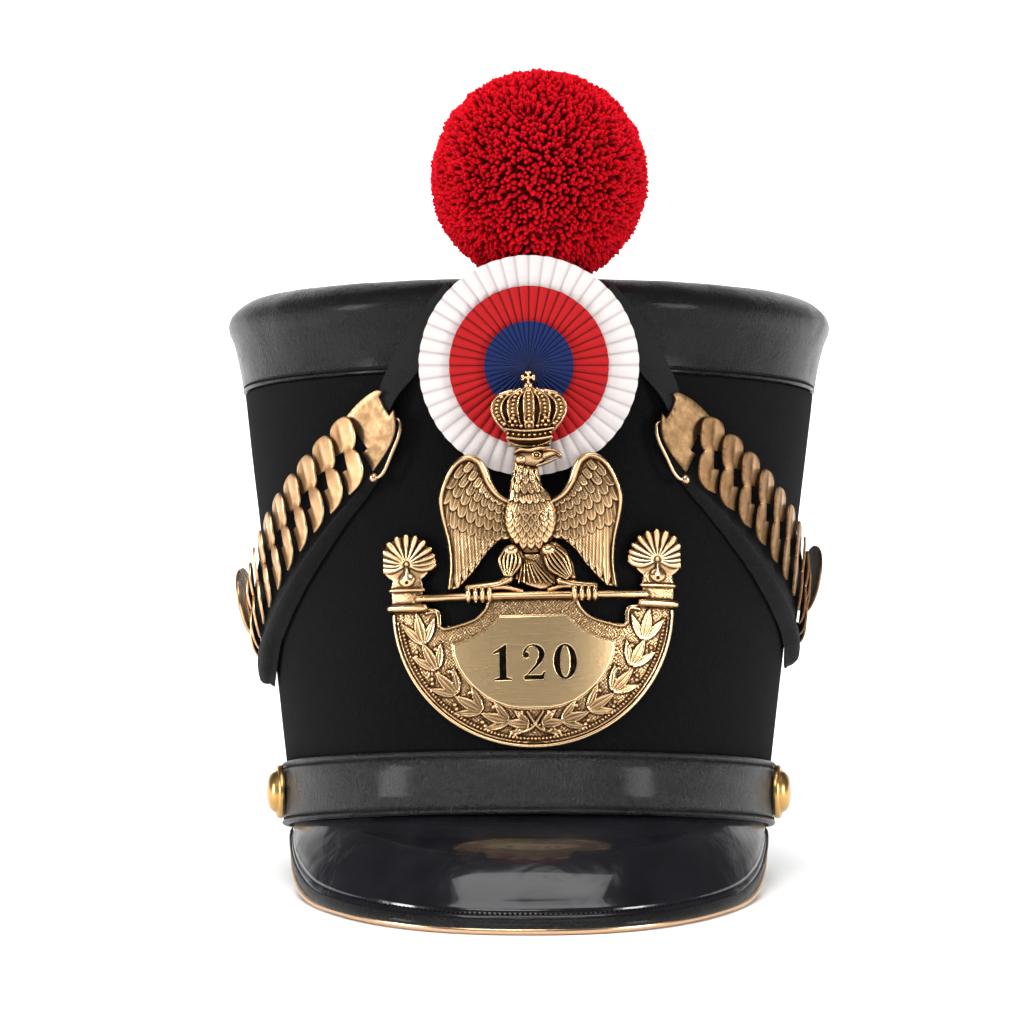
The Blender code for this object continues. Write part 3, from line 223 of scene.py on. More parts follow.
def in_steps(start, end, length):
    """Points from start up to, but without, end, about that length apart."""
    start, end = Vector(start), Vector(end)
    count = max(1, round((end - start).length / length))
    return [start.lerp(end, index / count) for index in range(count)]


def swept(sections):
    """Skins a run of sections, each a ring of points in the same order, and closes both ends."""
    bm = bmesh.new()
    rings = []
    for section in sections:
        verts = [bm.verts.new(point) for point in section]
        rings.append([bm.edges.new(pair) for pair in zip(verts, verts[1:] + verts[:1])])
    for before, after in zip(rings, rings[1:]):
        bmesh.ops.bridge_loops(bm, edges=before + after)
    bmesh.ops.holes_fill(bm, edges=rings[0] + rings[-1], sides=0)
    bmesh.ops.recalc_face_normals(bm, faces=bm.faces)
    if bm.calc_volume(signed=True) < 0:
        bmesh.ops.reverse_faces(bm, faces=bm.faces)
    return bm


def scattered(unit, matrices, depth_of=None):
    """Many copies of one small shape in a single mesh, each placed by its own matrix."""
    small = np.array([vert.co for vert in unit.verts])
    faces = [[vert.index for vert in face.verts] for face in unit.faces]
    unit.free()
    turns = np.array([matrix.to_3x3() for matrix in matrices])
    places = np.array([matrix.to_translation() for matrix in matrices])
    spots = (np.einsum("nij,vj->nvi", turns, small) + places[:, None, :]).reshape(-1, 3)
    copies = [[index + number * len(small) for index in face]
              for number in range(len(matrices)) for face in faces]
    mesh = bpy.data.meshes.new("scattered")
    mesh.from_pydata(spots.tolist(), [], copies)
    if depth_of:
        layer = mesh.attributes.new("depth", "FLOAT", "POINT")
        layer.data.foreach_set("value", depth_of(spots, len(small)).astype(np.float32).ravel())
    bm = bmesh.new()
    bm.from_mesh(mesh)
    bpy.data.meshes.remove(mesh)
    return bm


def squashed_ball(around, along):
    """A small ball of radius 1 with few faces."""
    bm = bmesh.new()
    bmesh.ops.create_uvsphere(bm, u_segments=around, v_segments=along, radius=1.0)
    bm.verts.index_update()
    return bm


def frame_matrix(origin, right, up, out):
    """Local X, Y and Z become right, up and out."""
    return Matrix((
        (right.x, up.x, out.x, origin.x),
        (right.y, up.y, out.y, origin.y),
        (right.z, up.z, out.z, origin.z),
        (0.0, 0.0, 0.0, 1.0),
    ))


def ruffle(bm, size, depth, seed=0.0):
    """Pushes a surface in and out along its own normals."""
    bm.normal_update()
    moves = [vert.normal * unevenness(vert.co, size, seed) * depth for vert in bm.verts]
    for vert, move in zip(bm.verts, moves):
        vert.co += move

# %% [markdown]
# ## Finishes
# Each stuff is a small tree of shader nodes. A helper makes a node and wires or sets its sockets,
# so that a finish reads like a recipe. The patterns are solid: they fill space and are read at the
# object's own coordinates, so they need no unwrapping and don't slide when the hat moves. Scales
# are given as the size of one bump in metres. A number that is the same all over a surface is set
# on the shader's own socket.

# %% Helpers for shader trees
class Recipe:
    """A material under construction: nodes are added one by one and wired by name."""

    def __init__(self, name):
        self.material = bpy.data.materials.new(name)
        self.material.use_nodes = True
        self.tree = self.material.node_tree
        self.shader = self.tree.nodes["Principled BSDF"]
        self.place = self.add("TexCoord").outputs["Object"]

    def add(self, kind, sockets=None, **settings):
        node = self.tree.nodes.new("ShaderNode" + kind)
        for key, value in settings.items():
            setattr(node, key, value)
        for key, value in (sockets or {}).items():
            self.put(node.inputs[key], value)
        return node

    def put(self, socket, value):
        if isinstance(value, bpy.types.NodeSocket):
            self.tree.links.new(value, socket)
        elif isinstance(value, tuple) and len(value) == 3 and socket.type == "RGBA":
            socket.default_value = (*value, 1.0)
        else:
            socket.default_value = value

    def set(self, **sockets):
        for key, value in sockets.items():
            self.put(self.shader.inputs[key.replace("_", " ")], value)

    def grain(self, size, detail=2.0, roughness=0.5, distortion=0.0, at=None):
        """Cloudy noise from 0 to 1 with bumps of that size."""
        texture = self.add("TexNoise", {"Vector": at or self.place, "Scale": 1.0 / size, "Detail": detail,
                                        "Roughness": roughness, "Distortion": distortion})
        return texture.outputs["Fac"]

    def stretched(self, x, y, z):
        """The place in space with an axis stretched, leaned back as the hat is."""
        turned = self.add("Mapping", {"Vector": self.place, "Rotation": (LEAN, 0.0, 0.0)})
        scaled = self.add("Mapping", {"Vector": turned.outputs["Vector"], "Scale": (x, y, z)})
        return scaled.outputs["Vector"]

    def between(self, value, low, high, to_low=0.0, to_high=1.0):
        """Moves a value's range, and holds it at both ends."""
        made = self.add("MapRange", {"Value": value, "From Min": low, "From Max": high,
                                     "To Min": to_low, "To Max": to_high})
        return made.outputs["Result"]

    def blend(self, share, first, second):
        return self.add("Mix", {0: share, 6: first, 7: second}, data_type="RGBA").outputs[2]

    def maths(self, how, first, second):
        return self.add("Math", {0: first, 1: second}, operation=how).outputs[0]

    def bump(self, height, depth, over=None):
        """Roughens the surface by a height pattern of that depth in metres."""
        sockets = {"Height": height, "Distance": depth, "Strength": 1.0}
        if over is not None:
            sockets["Normal"] = over
        return self.add("Bump", sockets).outputs["Normal"]

    def attribute(self, name):
        return self.add("Attribute", attribute_name=name).outputs["Fac"]

# %% [markdown]
# ### Felt
# Wool felt has no weave, only short matted fibres. It is almost black, and drinks light. A fine
# noise gives the fibres, a coarser one the places where the nap lies differently, and a little
# sheen shows them at the edges.

# %% Black felt
def black_felt():
    felt = Recipe("black_felt")
    nap = felt.grain(0.0007, 3.0, 0.7, at=felt.stretched(1.0, 1.0, 0.35))
    cloud = felt.grain(0.022, 3.0, 0.6)
    tone = felt.blend(felt.between(nap, 0.3, 0.75), (0.0013, 0.0013, 0.0015), (0.0062, 0.0062, 0.0068))
    tone = felt.blend(felt.between(cloud, 0.35, 0.7), tone, (0.0030, 0.0030, 0.0034))
    fibres = felt.bump(felt.grain(0.0005, 2.0, 0.8), 0.0003)
    felt.set(Base_Color=tone, Roughness=0.96, Sheen_Weight=0.02, Sheen_Roughness=0.5,
             Specular_IOR_Level=0.06, Normal=felt.bump(nap, 0.0004, fibres))
    return felt.material


FELT = black_felt()

# %% [markdown]
# ### Black leather
# The bands are thin glazed hide. The glaze shines, and the hide under it is full of fine wrinkles
# that run across each other. Warped noise, stretched two ways, gives wrinkles of about a
# millimetre. A slow cloudy noise makes the shine uneven.

# %% Black leather
def black_leather(name, least_rough, most_rough, wrinkles, shine):
    leather = Recipe(name)
    warp = leather.grain(0.0017, 4.0, 0.62, 1.4, at=leather.stretched(1.0, 1.0, 0.55))
    fine = leather.grain(0.00075, 3.0, 0.7, 0.8, at=leather.stretched(0.7, 0.7, 1.3))
    cells = leather.add("TexVoronoi", {"Vector": leather.place, "Scale": 900.0},
                        feature="DISTANCE_TO_EDGE")
    pores = leather.between(cells.outputs["Distance"], 0.0, 0.25)
    cloud = leather.grain(0.018, 3.0, 0.6)
    tone = leather.blend(leather.between(fine, 0.35, 0.7), (0.0016, 0.0016, 0.0019),
                         (0.0056, 0.0056, 0.0062))
    gloss = leather.between(cloud, 0.3, 0.7, least_rough, most_rough)
    surface = leather.bump(warp, wrinkles)
    surface = leather.bump(fine, 0.00020, surface)
    surface = leather.bump(pores, 0.00010, surface)
    leather.set(Base_Color=tone, Roughness=gloss, Specular_IOR_Level=shine, Coat_Weight=0.06,
                Coat_Roughness=0.15, Normal=surface)
    return leather.material


LEATHER = black_leather("black_leather", 0.17, 0.32, wrinkles=0.00062, shine=0.11)
BAND_LEATHER = black_leather("band_leather", 0.26, 0.38, wrinkles=0.00170, shine=0.34)
DULL_LEATHER = black_leather("dull_leather", 0.26, 0.42, wrinkles=0.0012, shine=0.20)

# %% [markdown]
# ### Patent leather
# The peak is varnished until it mirrors. A mirror that is quite smooth looks like plastic, so the
# varnish gets long shallow waves and a few fine ones, as the hide under it moves.

# %% Patent leather
def patent_leather():
    patent = Recipe("patent_leather")
    waves = patent.grain(0.020, 2.0, 0.5, 0.6)
    ripples = patent.grain(0.0045, 3.0, 0.55, 1.0)
    patches = patent.between(patent.grain(0.030, 1.0), 0.52, 0.68)
    ripple_here = patent.maths("MULTIPLY", ripples, patches)
    tone = patent.blend(patent.between(waves, 0.3, 0.7), (0.0035, 0.0035, 0.0050),
                        (0.0075, 0.0075, 0.0105))
    surface = patent.bump(waves, 0.0009)
    surface = patent.bump(ripple_here, 0.00035, surface)
    patent.set(Base_Color=tone, Roughness=0.22, Specular_IOR_Level=0.25, Coat_Weight=0.5,
               Coat_Roughness=0.06, Normal=surface)
    return patent.material


PATENT = patent_leather()

# %% [markdown]
# ### Brass
# Old brass is dark in its hollows, where no cloth reaches when it is polished, and bright on its
# ridges. Where a piece knows its ridges, it carries an attribute called polish, from 0 in a hollow
# to 1 on a ridge. One recipe serves all brass: the colours of the ridge and the hollow change, and
# so does the shine.

# %% Kinds of brass
def brass(name, ridge, middle, hollow, gloss, mottle=0.15, brushed=0.0):
    metal = Recipe(name)
    polish = metal.attribute("polish")
    stain = metal.grain(0.0032, 4.0, 0.65)
    scratches = metal.grain(0.0006, 2.0, 0.6, at=metal.stretched(0.15 - 0.12 * brushed, 1.0, 1.0))
    level = metal.maths("ADD", polish, metal.between(stain, 0.2, 0.8, -mottle, mottle))
    tone = metal.blend(metal.between(level, 0.0, 0.5), hollow, middle)
    tone = metal.blend(metal.between(level, 0.5, 1.0), tone, ridge)
    rough = metal.between(level, 0.0, 1.0, gloss + 0.22, gloss)
    surface = metal.bump(stain, 0.00006)
    surface = metal.bump(scratches, 0.00002 + 0.00004 * brushed, surface)
    metal.set(Base_Color=tone, Metallic=1.0, Roughness=rough, Normal=surface)
    return metal.material


ANTIQUE_BRASS = brass("antique_brass", (0.72, 0.495, 0.275), (0.38, 0.23, 0.108), (0.042, 0.020, 0.010),
                      gloss=0.24)
SCALE_BRASS = brass("scale_brass", (0.82, 0.54, 0.30), (0.46, 0.265, 0.122), (0.12, 0.060, 0.026),
                    gloss=0.36, mottle=0.16)
# A darker copy of the scale brass, with more mottled patina: painted shade for the tip plates.
SHADED_TIP_BRASS = brass("shaded_tip_brass", (0.50, 0.33, 0.185), (0.225, 0.135, 0.065), (0.09, 0.050, 0.022),
                  gloss=0.40, mottle=0.30)
BRIGHT_BRASS = brass("bright_brass", (0.78, 0.50, 0.20), (0.54, 0.32, 0.105), (0.14, 0.06, 0.015),
                     gloss=0.20, mottle=0.10)
RIM_BRASS = brass("rim_brass", (0.74, 0.50, 0.32), (0.52, 0.325, 0.185), (0.16, 0.08, 0.04),
                  gloss=0.22, mottle=0.08)
PANEL_BRASS = brass("panel_brass", (0.88, 0.65, 0.37), (0.54, 0.355, 0.165), (0.006, 0.005, 0.004),
                    gloss=0.27, mottle=0.05, brushed=1.0)


def polish_of(piece, values):
    """Writes how polished each vertex is, from 0 to 1."""
    layer = piece.data.attributes.new("polish", "FLOAT", "POINT")
    layer.data.foreach_set("value", np.clip(values, 0.0, 1.0).astype(np.float32))


def polish_evenly(piece, value):
    polish_of(piece, np.full(len(piece.data.vertices), value))


def read_array(rows, key, width, kind=float):
    values = np.empty(len(rows) * width, dtype=kind)
    rows.foreach_get(key, values)
    return values.reshape(-1, width)


def polish_by_curvature(piece, depth, rounds=6):
    """Ridges stand above the average of the surface round them, and hollows lie below it."""
    places = read_array(piece.data.vertices, "co", 3)
    normals = read_array(piece.data.vertices, "normal", 3)
    pairs = read_array(piece.data.edges, "vertices", 2, np.int32)
    degree = np.maximum(np.bincount(pairs.ravel(), minlength=len(places)), 1)[:, None]
    calm = places.copy()
    for _ in range(rounds):
        total = np.zeros_like(calm)
        np.add.at(total, pairs[:, 0], calm[pairs[:, 1]])
        np.add.at(total, pairs[:, 1], calm[pairs[:, 0]])
        calm = 0.5 * calm + 0.5 * total / degree
    height = ((places - calm) * normals).sum(axis=1)
    polish_of(piece, 0.5 + height / (2.0 * depth))

# %% [markdown]
# ### Cloth
# The cockade is pleated cotton ribbon, the chin straps are soft padded cloth, and the two tapes
# beside the cockade are black ribbed ribbon. Cotton scatters light and shows its threads only from
# close by, so fine noise and a little sheen are enough, with the real pleats in the mesh.

# %% Cotton, strap cloth and ribbon
def cotton(name, light, dark, sheen):
    cloth = Recipe(name)
    threads = cloth.grain(0.0005, 2.0, 0.6)
    fold = cloth.attribute("fold")
    # Painted shade: where the fold attribute is low, in the valleys between pleats, the cloth takes the
    # dark tone.
    tone = cloth.blend(cloth.between(fold, 0.0, 1.0), dark, light)
    tone = cloth.blend(cloth.between(threads, 0.3, 0.7, 0.0, 0.12), tone, dark)
    cloth.set(Base_Color=tone, Roughness=0.9, Sheen_Weight=sheen, Sheen_Roughness=0.4,
              Specular_IOR_Level=0.2, Normal=cloth.bump(threads, 0.00012))
    return cloth.material


def soft_black(name, light, depth, sheen):
    cloth = Recipe(name)
    fuzz = cloth.grain(0.0008, 3.0, 0.7)
    tone = cloth.blend(cloth.between(fuzz, 0.3, 0.7), (0.004, 0.004, 0.0045), light)
    cloth.set(Base_Color=tone, Roughness=0.95, Sheen_Weight=sheen, Sheen_Roughness=0.4,
              Specular_IOR_Level=0.2, Normal=cloth.bump(fuzz, depth))
    return cloth.material


def ribbed_ribbon():
    ribbon = Recipe("ribbed_ribbon")
    unwrapped = ribbon.add("UVMap", uv_map="along").outputs["UV"]
    ribs = ribbon.add("TexWave", {"Vector": unwrapped, "Scale": 3.2, "Distortion": 0.3, "Detail": 1.0},
                      wave_type="BANDS", bands_direction="Y")
    ridge = ribs.outputs["Fac"]
    tone = ribbon.blend(ridge, (0.003, 0.003, 0.0035), (0.010, 0.010, 0.011))
    ribbon.set(Base_Color=tone, Roughness=0.80, Sheen_Weight=0.05, Specular_IOR_Level=0.2,
               Normal=ribbon.bump(ridge, 0.00012))
    return ribbon.material


# The second colour of each cotton is the painted shade of its pleats' valleys; the threads also mix a
# little of it in.
WHITE_COTTON = cotton("white_cotton", (0.64, 0.595, 0.585), (0.45, 0.41, 0.405), 0.05)
RED_COTTON = cotton("red_cotton", (0.40, 0.008, 0.010), (0.13, 0.002, 0.004), 0.08)
BLUE_COTTON = cotton("blue_cotton", (0.0065, 0.018, 0.095), (0.0012, 0.0030, 0.018), 0.10)
STRAP_CLOTH = soft_black("strap_cloth", (0.009, 0.009, 0.0098), 0.0005, 0.04)
THREAD = soft_black("black_thread", (0.014, 0.014, 0.015), 0.0001, 0.03)
RIBBON = ribbed_ribbon()

# %% [markdown]
# ## The felt wall
# The body of a shako is blocked felt, 3 mm thick: a tube that widens upward, open underneath for
# the head. Its cut section is drawn once and spun round the upright axis. It is a little slimmer
# where leather is sewn over it. Hand-blocked felt is never quite true, so it is ruffled by a
# quarter of a millimetre.

# %% Felt wall
FELT_OUTSIDE = [        # (z, half width) in metres
    (0.0, 0.0921), (0.0241, 0.0927), (0.0247, half_width(0.0247)),
    (0.1656, half_width(0.1656)), (0.1662, 0.1081), (0.1892, 0.1121),
]
FELT_INSIDE = [(0.1892, 0.1091), (0.0, 0.0891)]


def section_in_steps(rows, length):
    """A closed cut section (z, radius) with extra points on its long straight lines."""
    line = []
    for before, after in zip(rows, rows[1:] + rows[:1]):
        line += in_steps(before, after, length)
    return line


felt_shape = spun(section_in_steps(FELT_OUTSIDE + FELT_INSIDE, 0.006))
oval(felt_shape)
ruffle(felt_shape, 0.035, 0.00025)
piece_from("felt_wall", felt_shape, FELT, ["crown_body"])

# %% [markdown]
# ## The leather bands
# A band round the top rolls over the rim and ends inside, where the sunken crown starts. Another
# goes round the foot. A sewn edge on leather has three parts: the turned edge, which is a thin
# lip; a groove that the thread has pulled in; and the stitches that lie in it. The lip and groove
# are rows of the cut section, and the stitches come later.

# %% Top band with its rolled rim
BAND_LOWER_EDGE = mm([    # (z, half width): turned lip, groove of the seam
    (166.5, 109), (166.6, 109.9), (167, 110.3), (167.6, 110.3), (168, 109.9), (168.3, 109.7),
    (168.7, 109.8), (169.2, 110.4),
])
BAND_OVER_RIM = mm([
    (169.2, 110.4), (174.5, 111.3), (181.6, 112.9), (185.8, 114.1), (189, 115.5), (192.5, 116),
    (196, 114.6), (199, 111.4), (201.1, 107.6), (201.8, 104), (200.7, 99.9), (197.8, 96.5), (193, 94.6),
    (188.3, 93.8),
])
BAND_INSIDE = mm([(188.3, 95.6), (197.8, 98.8), (197.5, 109), (190.5, 113.8), (166.5, 108.8)])
LEATHER_STEPS = 320
BAND_SEAM = (0.1685, 0.1098)

top_section = BAND_LOWER_EDGE[:-1] + rounded(BAND_OVER_RIM, 3) + BAND_INSIDE
top_shape = spun(top_section, LEATHER_STEPS)
oval(top_shape)
ruffle(top_shape, 0.012, 0.00018, 3.0)
piece_from("top_band_leather", top_shape, LEATHER, ["top_band"])

# %% [markdown]
# The base band is sewn along its upper and its lower edge. Its section goes up the outside, over lip
# and groove twice, and comes down against the felt. It is spun in the same way.

# %% Base band
BASE_SECTION = mm([    # (z, half width) up the outside: lip, seam, face, seam, lip
    (0, 93.8), (0.2, 94.5), (0.8, 95), (1.4, 94.9), (1.8, 94.4), (2.2, 94.2), (2.7, 94.4), (3.4, 94.9),
    (8, 95), (16, 95.1), (20.3, 95), (21, 94.6), (21.4, 94.4), (21.8, 94.6), (22.2, 95.1), (22.9, 95.3),
    (23.6, 94.9), (23.8, 94.3), (23.8, 93.1), (0, 92.4),
])
BASE_SEAMS = mm([(2.3, 94.3), (21.3, 94.5)])

base_shape = spun(BASE_SECTION, LEATHER_STEPS)
oval(base_shape)
ruffle(base_shape, 0.010, 0.00012, 8.0)
piece_from("base_band_leather", base_shape, BAND_LEATHER, ["base_band"])

# %% [markdown]
# The crown is a flat leather lid inside the rolled rim. It sags a little in the middle, as a lid
# does that carries a stem. Rings inset in its upper face let it sag.

# %% Sunken crown
CROWN_HALF_WIDTH = 0.1083
CROWN_HALF_DEPTH = CROWN_HALF_WIDTH + half_depth(0.1880) - half_width(0.1880)
CROWN_THICK = 0.0025
CROWN_SAG = 0.0004
CROWN_RINGS = (0.03, 0.07, 0.15, 0.2, 0.25)     # each is so much further in, as a share

crown_shape = bmesh.new()
bmesh.ops.create_cone(crown_shape, cap_ends=True, segments=RING_STEPS, radius1=1.0, radius2=1.0,
                      depth=CROWN_THICK)
crown_lid = [face for face in crown_shape.faces if face.normal.z > 0.9]
for inset in CROWN_RINGS:
    bmesh.ops.inset_region(crown_shape, faces=crown_lid, thickness=inset)
for vert in crown_shape.verts:
    if vert.co.z > 0:
        vert.co.z -= CROWN_SAG * (1.0 - min(vert.co.xy.length, 1.0))
bmesh.ops.scale(crown_shape, verts=crown_shape.verts, vec=(CROWN_HALF_WIDTH, CROWN_HALF_DEPTH, 1.0))
bmesh.ops.translate(crown_shape, verts=crown_shape.verts, vec=(0.0, 0.0, CROWN_DISC_MIDDLE_Z))
piece_from("crown_lid", crown_shape, LEATHER, ["crown_top"])

# %% [markdown]
# ## Stitches
# A stitch is a short loop of thread that comes out of one hole and goes into the next. From the
# front it is a grain of rice, half sunk in the groove. There are over a thousand, so each one is
# only a small squashed ball, and they go into one mesh for each seam.

# %% Seams round the bands
STITCH_PITCH = 0.00185
STITCH_SIZE = (0.00062, 0.00026, 0.00024)
STITCH_SLANT = 0.25         # a stitch climbs so much for its length
SEAM_STEP = 0.01            # radians between two points that give a seam's direction


def stitch_matrix(spot, along, out):
    beside = out.cross(along).normalized()
    return frame_matrix(spot, along, beside, out) @ Matrix.Diagonal((*STITCH_SIZE, 1.0))


def square_to(direction, along):
    """The part of a direction that is square to another one."""
    return (direction - along * direction.dot(along)).normalized()


def seam_round(seams):
    matrices = []
    for z, reach in seams:
        stand_off = reach - half_width(z)
        azimuth = 0.0
        while azimuth < 2.0 * math.pi:
            spot = wall_point(azimuth, z, stand_off)
            ahead = wall_point(azimuth + SEAM_STEP, z, stand_off) - spot
            along = ahead.normalized()
            out = along.cross(UP)
            tilted = (along + UP * STITCH_SLANT).normalized()
            matrices.append(stitch_matrix(spot + out * 0.0001, tilted, square_to(out, tilted)))
            azimuth += SEAM_STEP * STITCH_PITCH / ahead.length
    return scattered(squashed_ball(6, 4), matrices)


piece_from("top_band_stitches", seam_round([BAND_SEAM]), THREAD, ["top_band"])
piece_from("base_band_stitches", seam_round(BASE_SEAMS), THREAD, ["base_band"])

# %% [markdown]
# ## The peak
# The peak is a crescent of patent leather, sewn under the foot of the wall. Its free edge is one
# curve in space, from corner to corner, that reaches forward and hangs down. The sheet between the
# wall and that edge bulges a little. Its rows stay at fixed distances from the free edge, so the
# narrow border strip and its groove have the same width all the way round.

# %% Peak leather
LIP_CLEAR = 0.0023
PEAK_HALF_WIDTH = 0.0900
PEAK_SIDE_Y = -0.0290
PEAK_SPREAD = math.radians(74)              # its root goes so far round to each side
PEAK_ROOT = (0.0931, 0.1049, 0.0004)        # half width and half depth of the root, and its drop
PEAK_BULGE = 0.0060
LIP_POWER = 2.0 / 3.0       # how the lip's points and its drop spread from the middle to the corners
LIP_SQUARENESS = 2.3        # 2 would make the lip a plain ellipse
CORNER_DROP = 0.0035
FLOOR_BLEND = 0.0008        # how softly the lip gives way to the table
PEAK_LEATHER = 0.0020
PEAK_STEPS = 160
PEAK_EDGE_ROWS = mm([    # (distance from the free edge, height above the plain sheet)
    (0, 0), (1.2, 0), (2.6, 0), (3.6, 0.2), (4.8, 0.24), (5.8, 0.1), (6.2, -0.25), (6.8, -0.3),
    (7.3, 0.05), (7.9, 0.22), (8.6, 0.12), (10, 0),
])
PEAK_SEAM_DISTANCE = 0.0066
PEAK_INNER_ROWS = 26


def table_height(y):
    """Height of the table under the leaning hat, in the hat's own frame."""
    return (y - HEEL_Y) * math.tan(LEAN)


def lip_curve(turn):
    swing = abs(math.sin(turn)) ** LIP_POWER
    across = math.copysign(PEAK_HALF_WIDTH * swing, turn)
    forward = PEAK_SIDE_Y - (LIP_REACH + PEAK_SIDE_Y) * math.sqrt(max(0.0, 1.0 - swing ** LIP_SQUARENESS))
    hang = -LIP_DROP * abs(math.cos(turn)) ** LIP_POWER - CORNER_DROP * swing ** 6
    floor = table_height(forward) + LIP_CLEAR
    return Vector((across, forward, (hang + floor + math.hypot(hang - floor, FLOOR_BLEND)) / 2))


def run_lengths(points):
    """How far each point is along the line through all of them."""
    return np.concatenate(([0.0], np.cumsum([(b - a).length for a, b in zip(points, points[1:])])))


def evenly_spaced(curve, start, end, count, fine=3000):
    """Points a fixed distance apart along a curve that a function gives."""
    dense = [curve(start + (end - start) * index / fine) for index in range(fine + 1)]
    runs = run_lengths(dense)
    wanted = np.linspace(0.0, runs[-1], count + 1)
    columns = [np.interp(wanted, runs, [point[axis] for point in dense]) for axis in range(3)]
    return [Vector(point) for point in zip(*columns)]


def beside_it(points, index, reach=1):
    """The points before and after one, up to the ends of the line."""
    return points[max(index - reach, 0)], points[min(index + reach, len(points) - 1)]


LIP = evenly_spaced(lip_curve, -math.pi / 2, math.pi / 2, PEAK_STEPS)


def peak_root(index):
    azimuth = PEAK_SPREAD * (2.0 * index / PEAK_STEPS - 1.0)
    half_wide, half_deep, drop = PEAK_ROOT
    return Vector((half_wide * math.sin(azimuth), -half_deep * math.cos(azimuth), -drop))


def peak_length(index):
    return (LIP[index] - peak_root(index)).length


def peak_outward(index):
    before, after = beside_it(LIP, index, 3)
    outward = (after - before).cross(LIP[index] - peak_root(index)).normalized()
    return -outward if outward.z < 0 else outward


def peak_point(index, share, raised=0.0):
    """share is 0 at the wall and 1 at the free edge."""
    fullness = math.sin(math.pi * index / PEAK_STEPS) ** 0.5
    bulge = PEAK_BULGE * fullness * math.sin(math.pi * share)
    return peak_root(index).lerp(LIP[index], share) + peak_outward(index) * (bulge + raised)


def peak_row(index, row):
    """Place of a grid row: edge rows keep their distance, and the others share what is left."""
    length = peak_length(index)
    last = len(PEAK_EDGE_ROWS) - 1
    if row <= last:
        distance, raised = PEAK_EDGE_ROWS[row]
        fits = min(1.0, 0.85 * length / PEAK_EDGE_ROWS[-1][0])
        return peak_point(index, 1.0 - distance * fits / length, raised * fits)
    start = min(PEAK_EDGE_ROWS[-1][0] / length, 0.85)
    return peak_point(index, (1.0 - start) * (1.0 - (row - last) / PEAK_INNER_ROWS))


peak_shape = bmesh.new()
peak_rows = len(PEAK_EDGE_ROWS) - 1 + PEAK_INNER_ROWS
bmesh.ops.create_grid(peak_shape, x_segments=PEAK_STEPS, y_segments=peak_rows, size=0.5)
for vert in peak_shape.verts:
    column = round((vert.co.x + 0.5) * PEAK_STEPS)
    vert.co = peak_row(column, round((0.5 + vert.co.y) * peak_rows))
bmesh.ops.recalc_face_normals(peak_shape, faces=peak_shape.faces)
if sum(face.normal.z for face in peak_shape.faces) < 0:
    bmesh.ops.reverse_faces(peak_shape, faces=peak_shape.faces)
ruffle(peak_shape, 0.022, 0.00025, 5.0)
bmesh.ops.solidify(peak_shape, geom=peak_shape.faces[:], thickness=PEAK_LEATHER)
piece_from("peak_leather", peak_shape, PATENT, ["peak"], sharp=50.0)

# %% [markdown]
# One row of stitches lies in the groove of the peak's border. They are set out at one pitch along the
# groove's own line, so that they stay even round the bend.

# %% Seam along the border of the peak
PEAK_SEAM_PITCH = 0.0019
peak_seam = []
seam_line = [peak_point(index, 1.0 - min(PEAK_SEAM_DISTANCE / peak_length(index), 0.7))
             for index in range(4, PEAK_STEPS - 3)]
seam_runs = run_lengths(seam_line)
for run in np.arange(0.001, seam_runs[-1], PEAK_SEAM_PITCH):
    place = min(int(np.searchsorted(seam_runs, run)), len(seam_line) - 1)
    share = (run - seam_runs[place - 1]) / (seam_runs[place] - seam_runs[place - 1])
    spot = seam_line[place - 1].lerp(seam_line[place], share)
    along = (seam_line[place] - seam_line[place - 1]).normalized()
    outward = square_to(peak_outward(place + 3), along)
    peak_seam.append(stitch_matrix(spot + outward * 0.00005, along, outward))
piece_from("peak_stitches", scattered(squashed_ball(6, 4), peak_seam), THREAD, ["peak"])

# %% [markdown]
# The free edge is bound with a narrow tape of dull leather, stitched down along its inner side. Its
# section is carried along the lip, and it narrows where the peak itself runs out at the corners.

# %% Binding of the peak
BINDING = mm([    # (distance from the free edge, height)
    (0, 0.3), (0.4, 0.8), (1.4, 1), (3, 1), (3.8, 0.7), (4.2, 0.1),
])

BINDING_WIDTH = BINDING[-1][0]
BINDING_SUNK = 0.0006       # its underside is inside the peak

binding_sections = []
for index in range(PEAK_STEPS + 1):
    length = peak_length(index)
    fits = min(1.0, 0.5 * length / BINDING_WIDTH)
    corners = BINDING + [(BINDING_WIDTH, -BINDING_SUNK), (0.0, -BINDING_SUNK)]
    binding_sections.append([peak_point(index, 1.0 - distance * fits / length, rise)
                             for distance, rise in corners])
piece_from("peak_binding", swept(binding_sections), DULL_LEATHER, ["peak"], sharp=50.0)

# %% [markdown]
# A thin brass channel grips the leather's free edge. A few points of its cut section, drawn as a
# smooth line, are carried along the lip. It is open towards the leather.

# %% Brass rim of the peak
RIM_OUTSIDE = mm([    # (outward, up) from the middle of the leather's edge
    (-0.4, 1.1), (0.4, 1.1), (1.1, 0.6), (1.4, -0.2), (1.1, -1.3), (0.2, -2), (-1.2, -2.05),
    (-2.4, -1.7),
])
RIM_INSIDE = mm([(-2.4, -1.3), (0.2, -1.3), (0.2, 0.7), (-0.4, 0.7)])
RIM_END = 14            # nearer the corners than this, the channel points away from the head

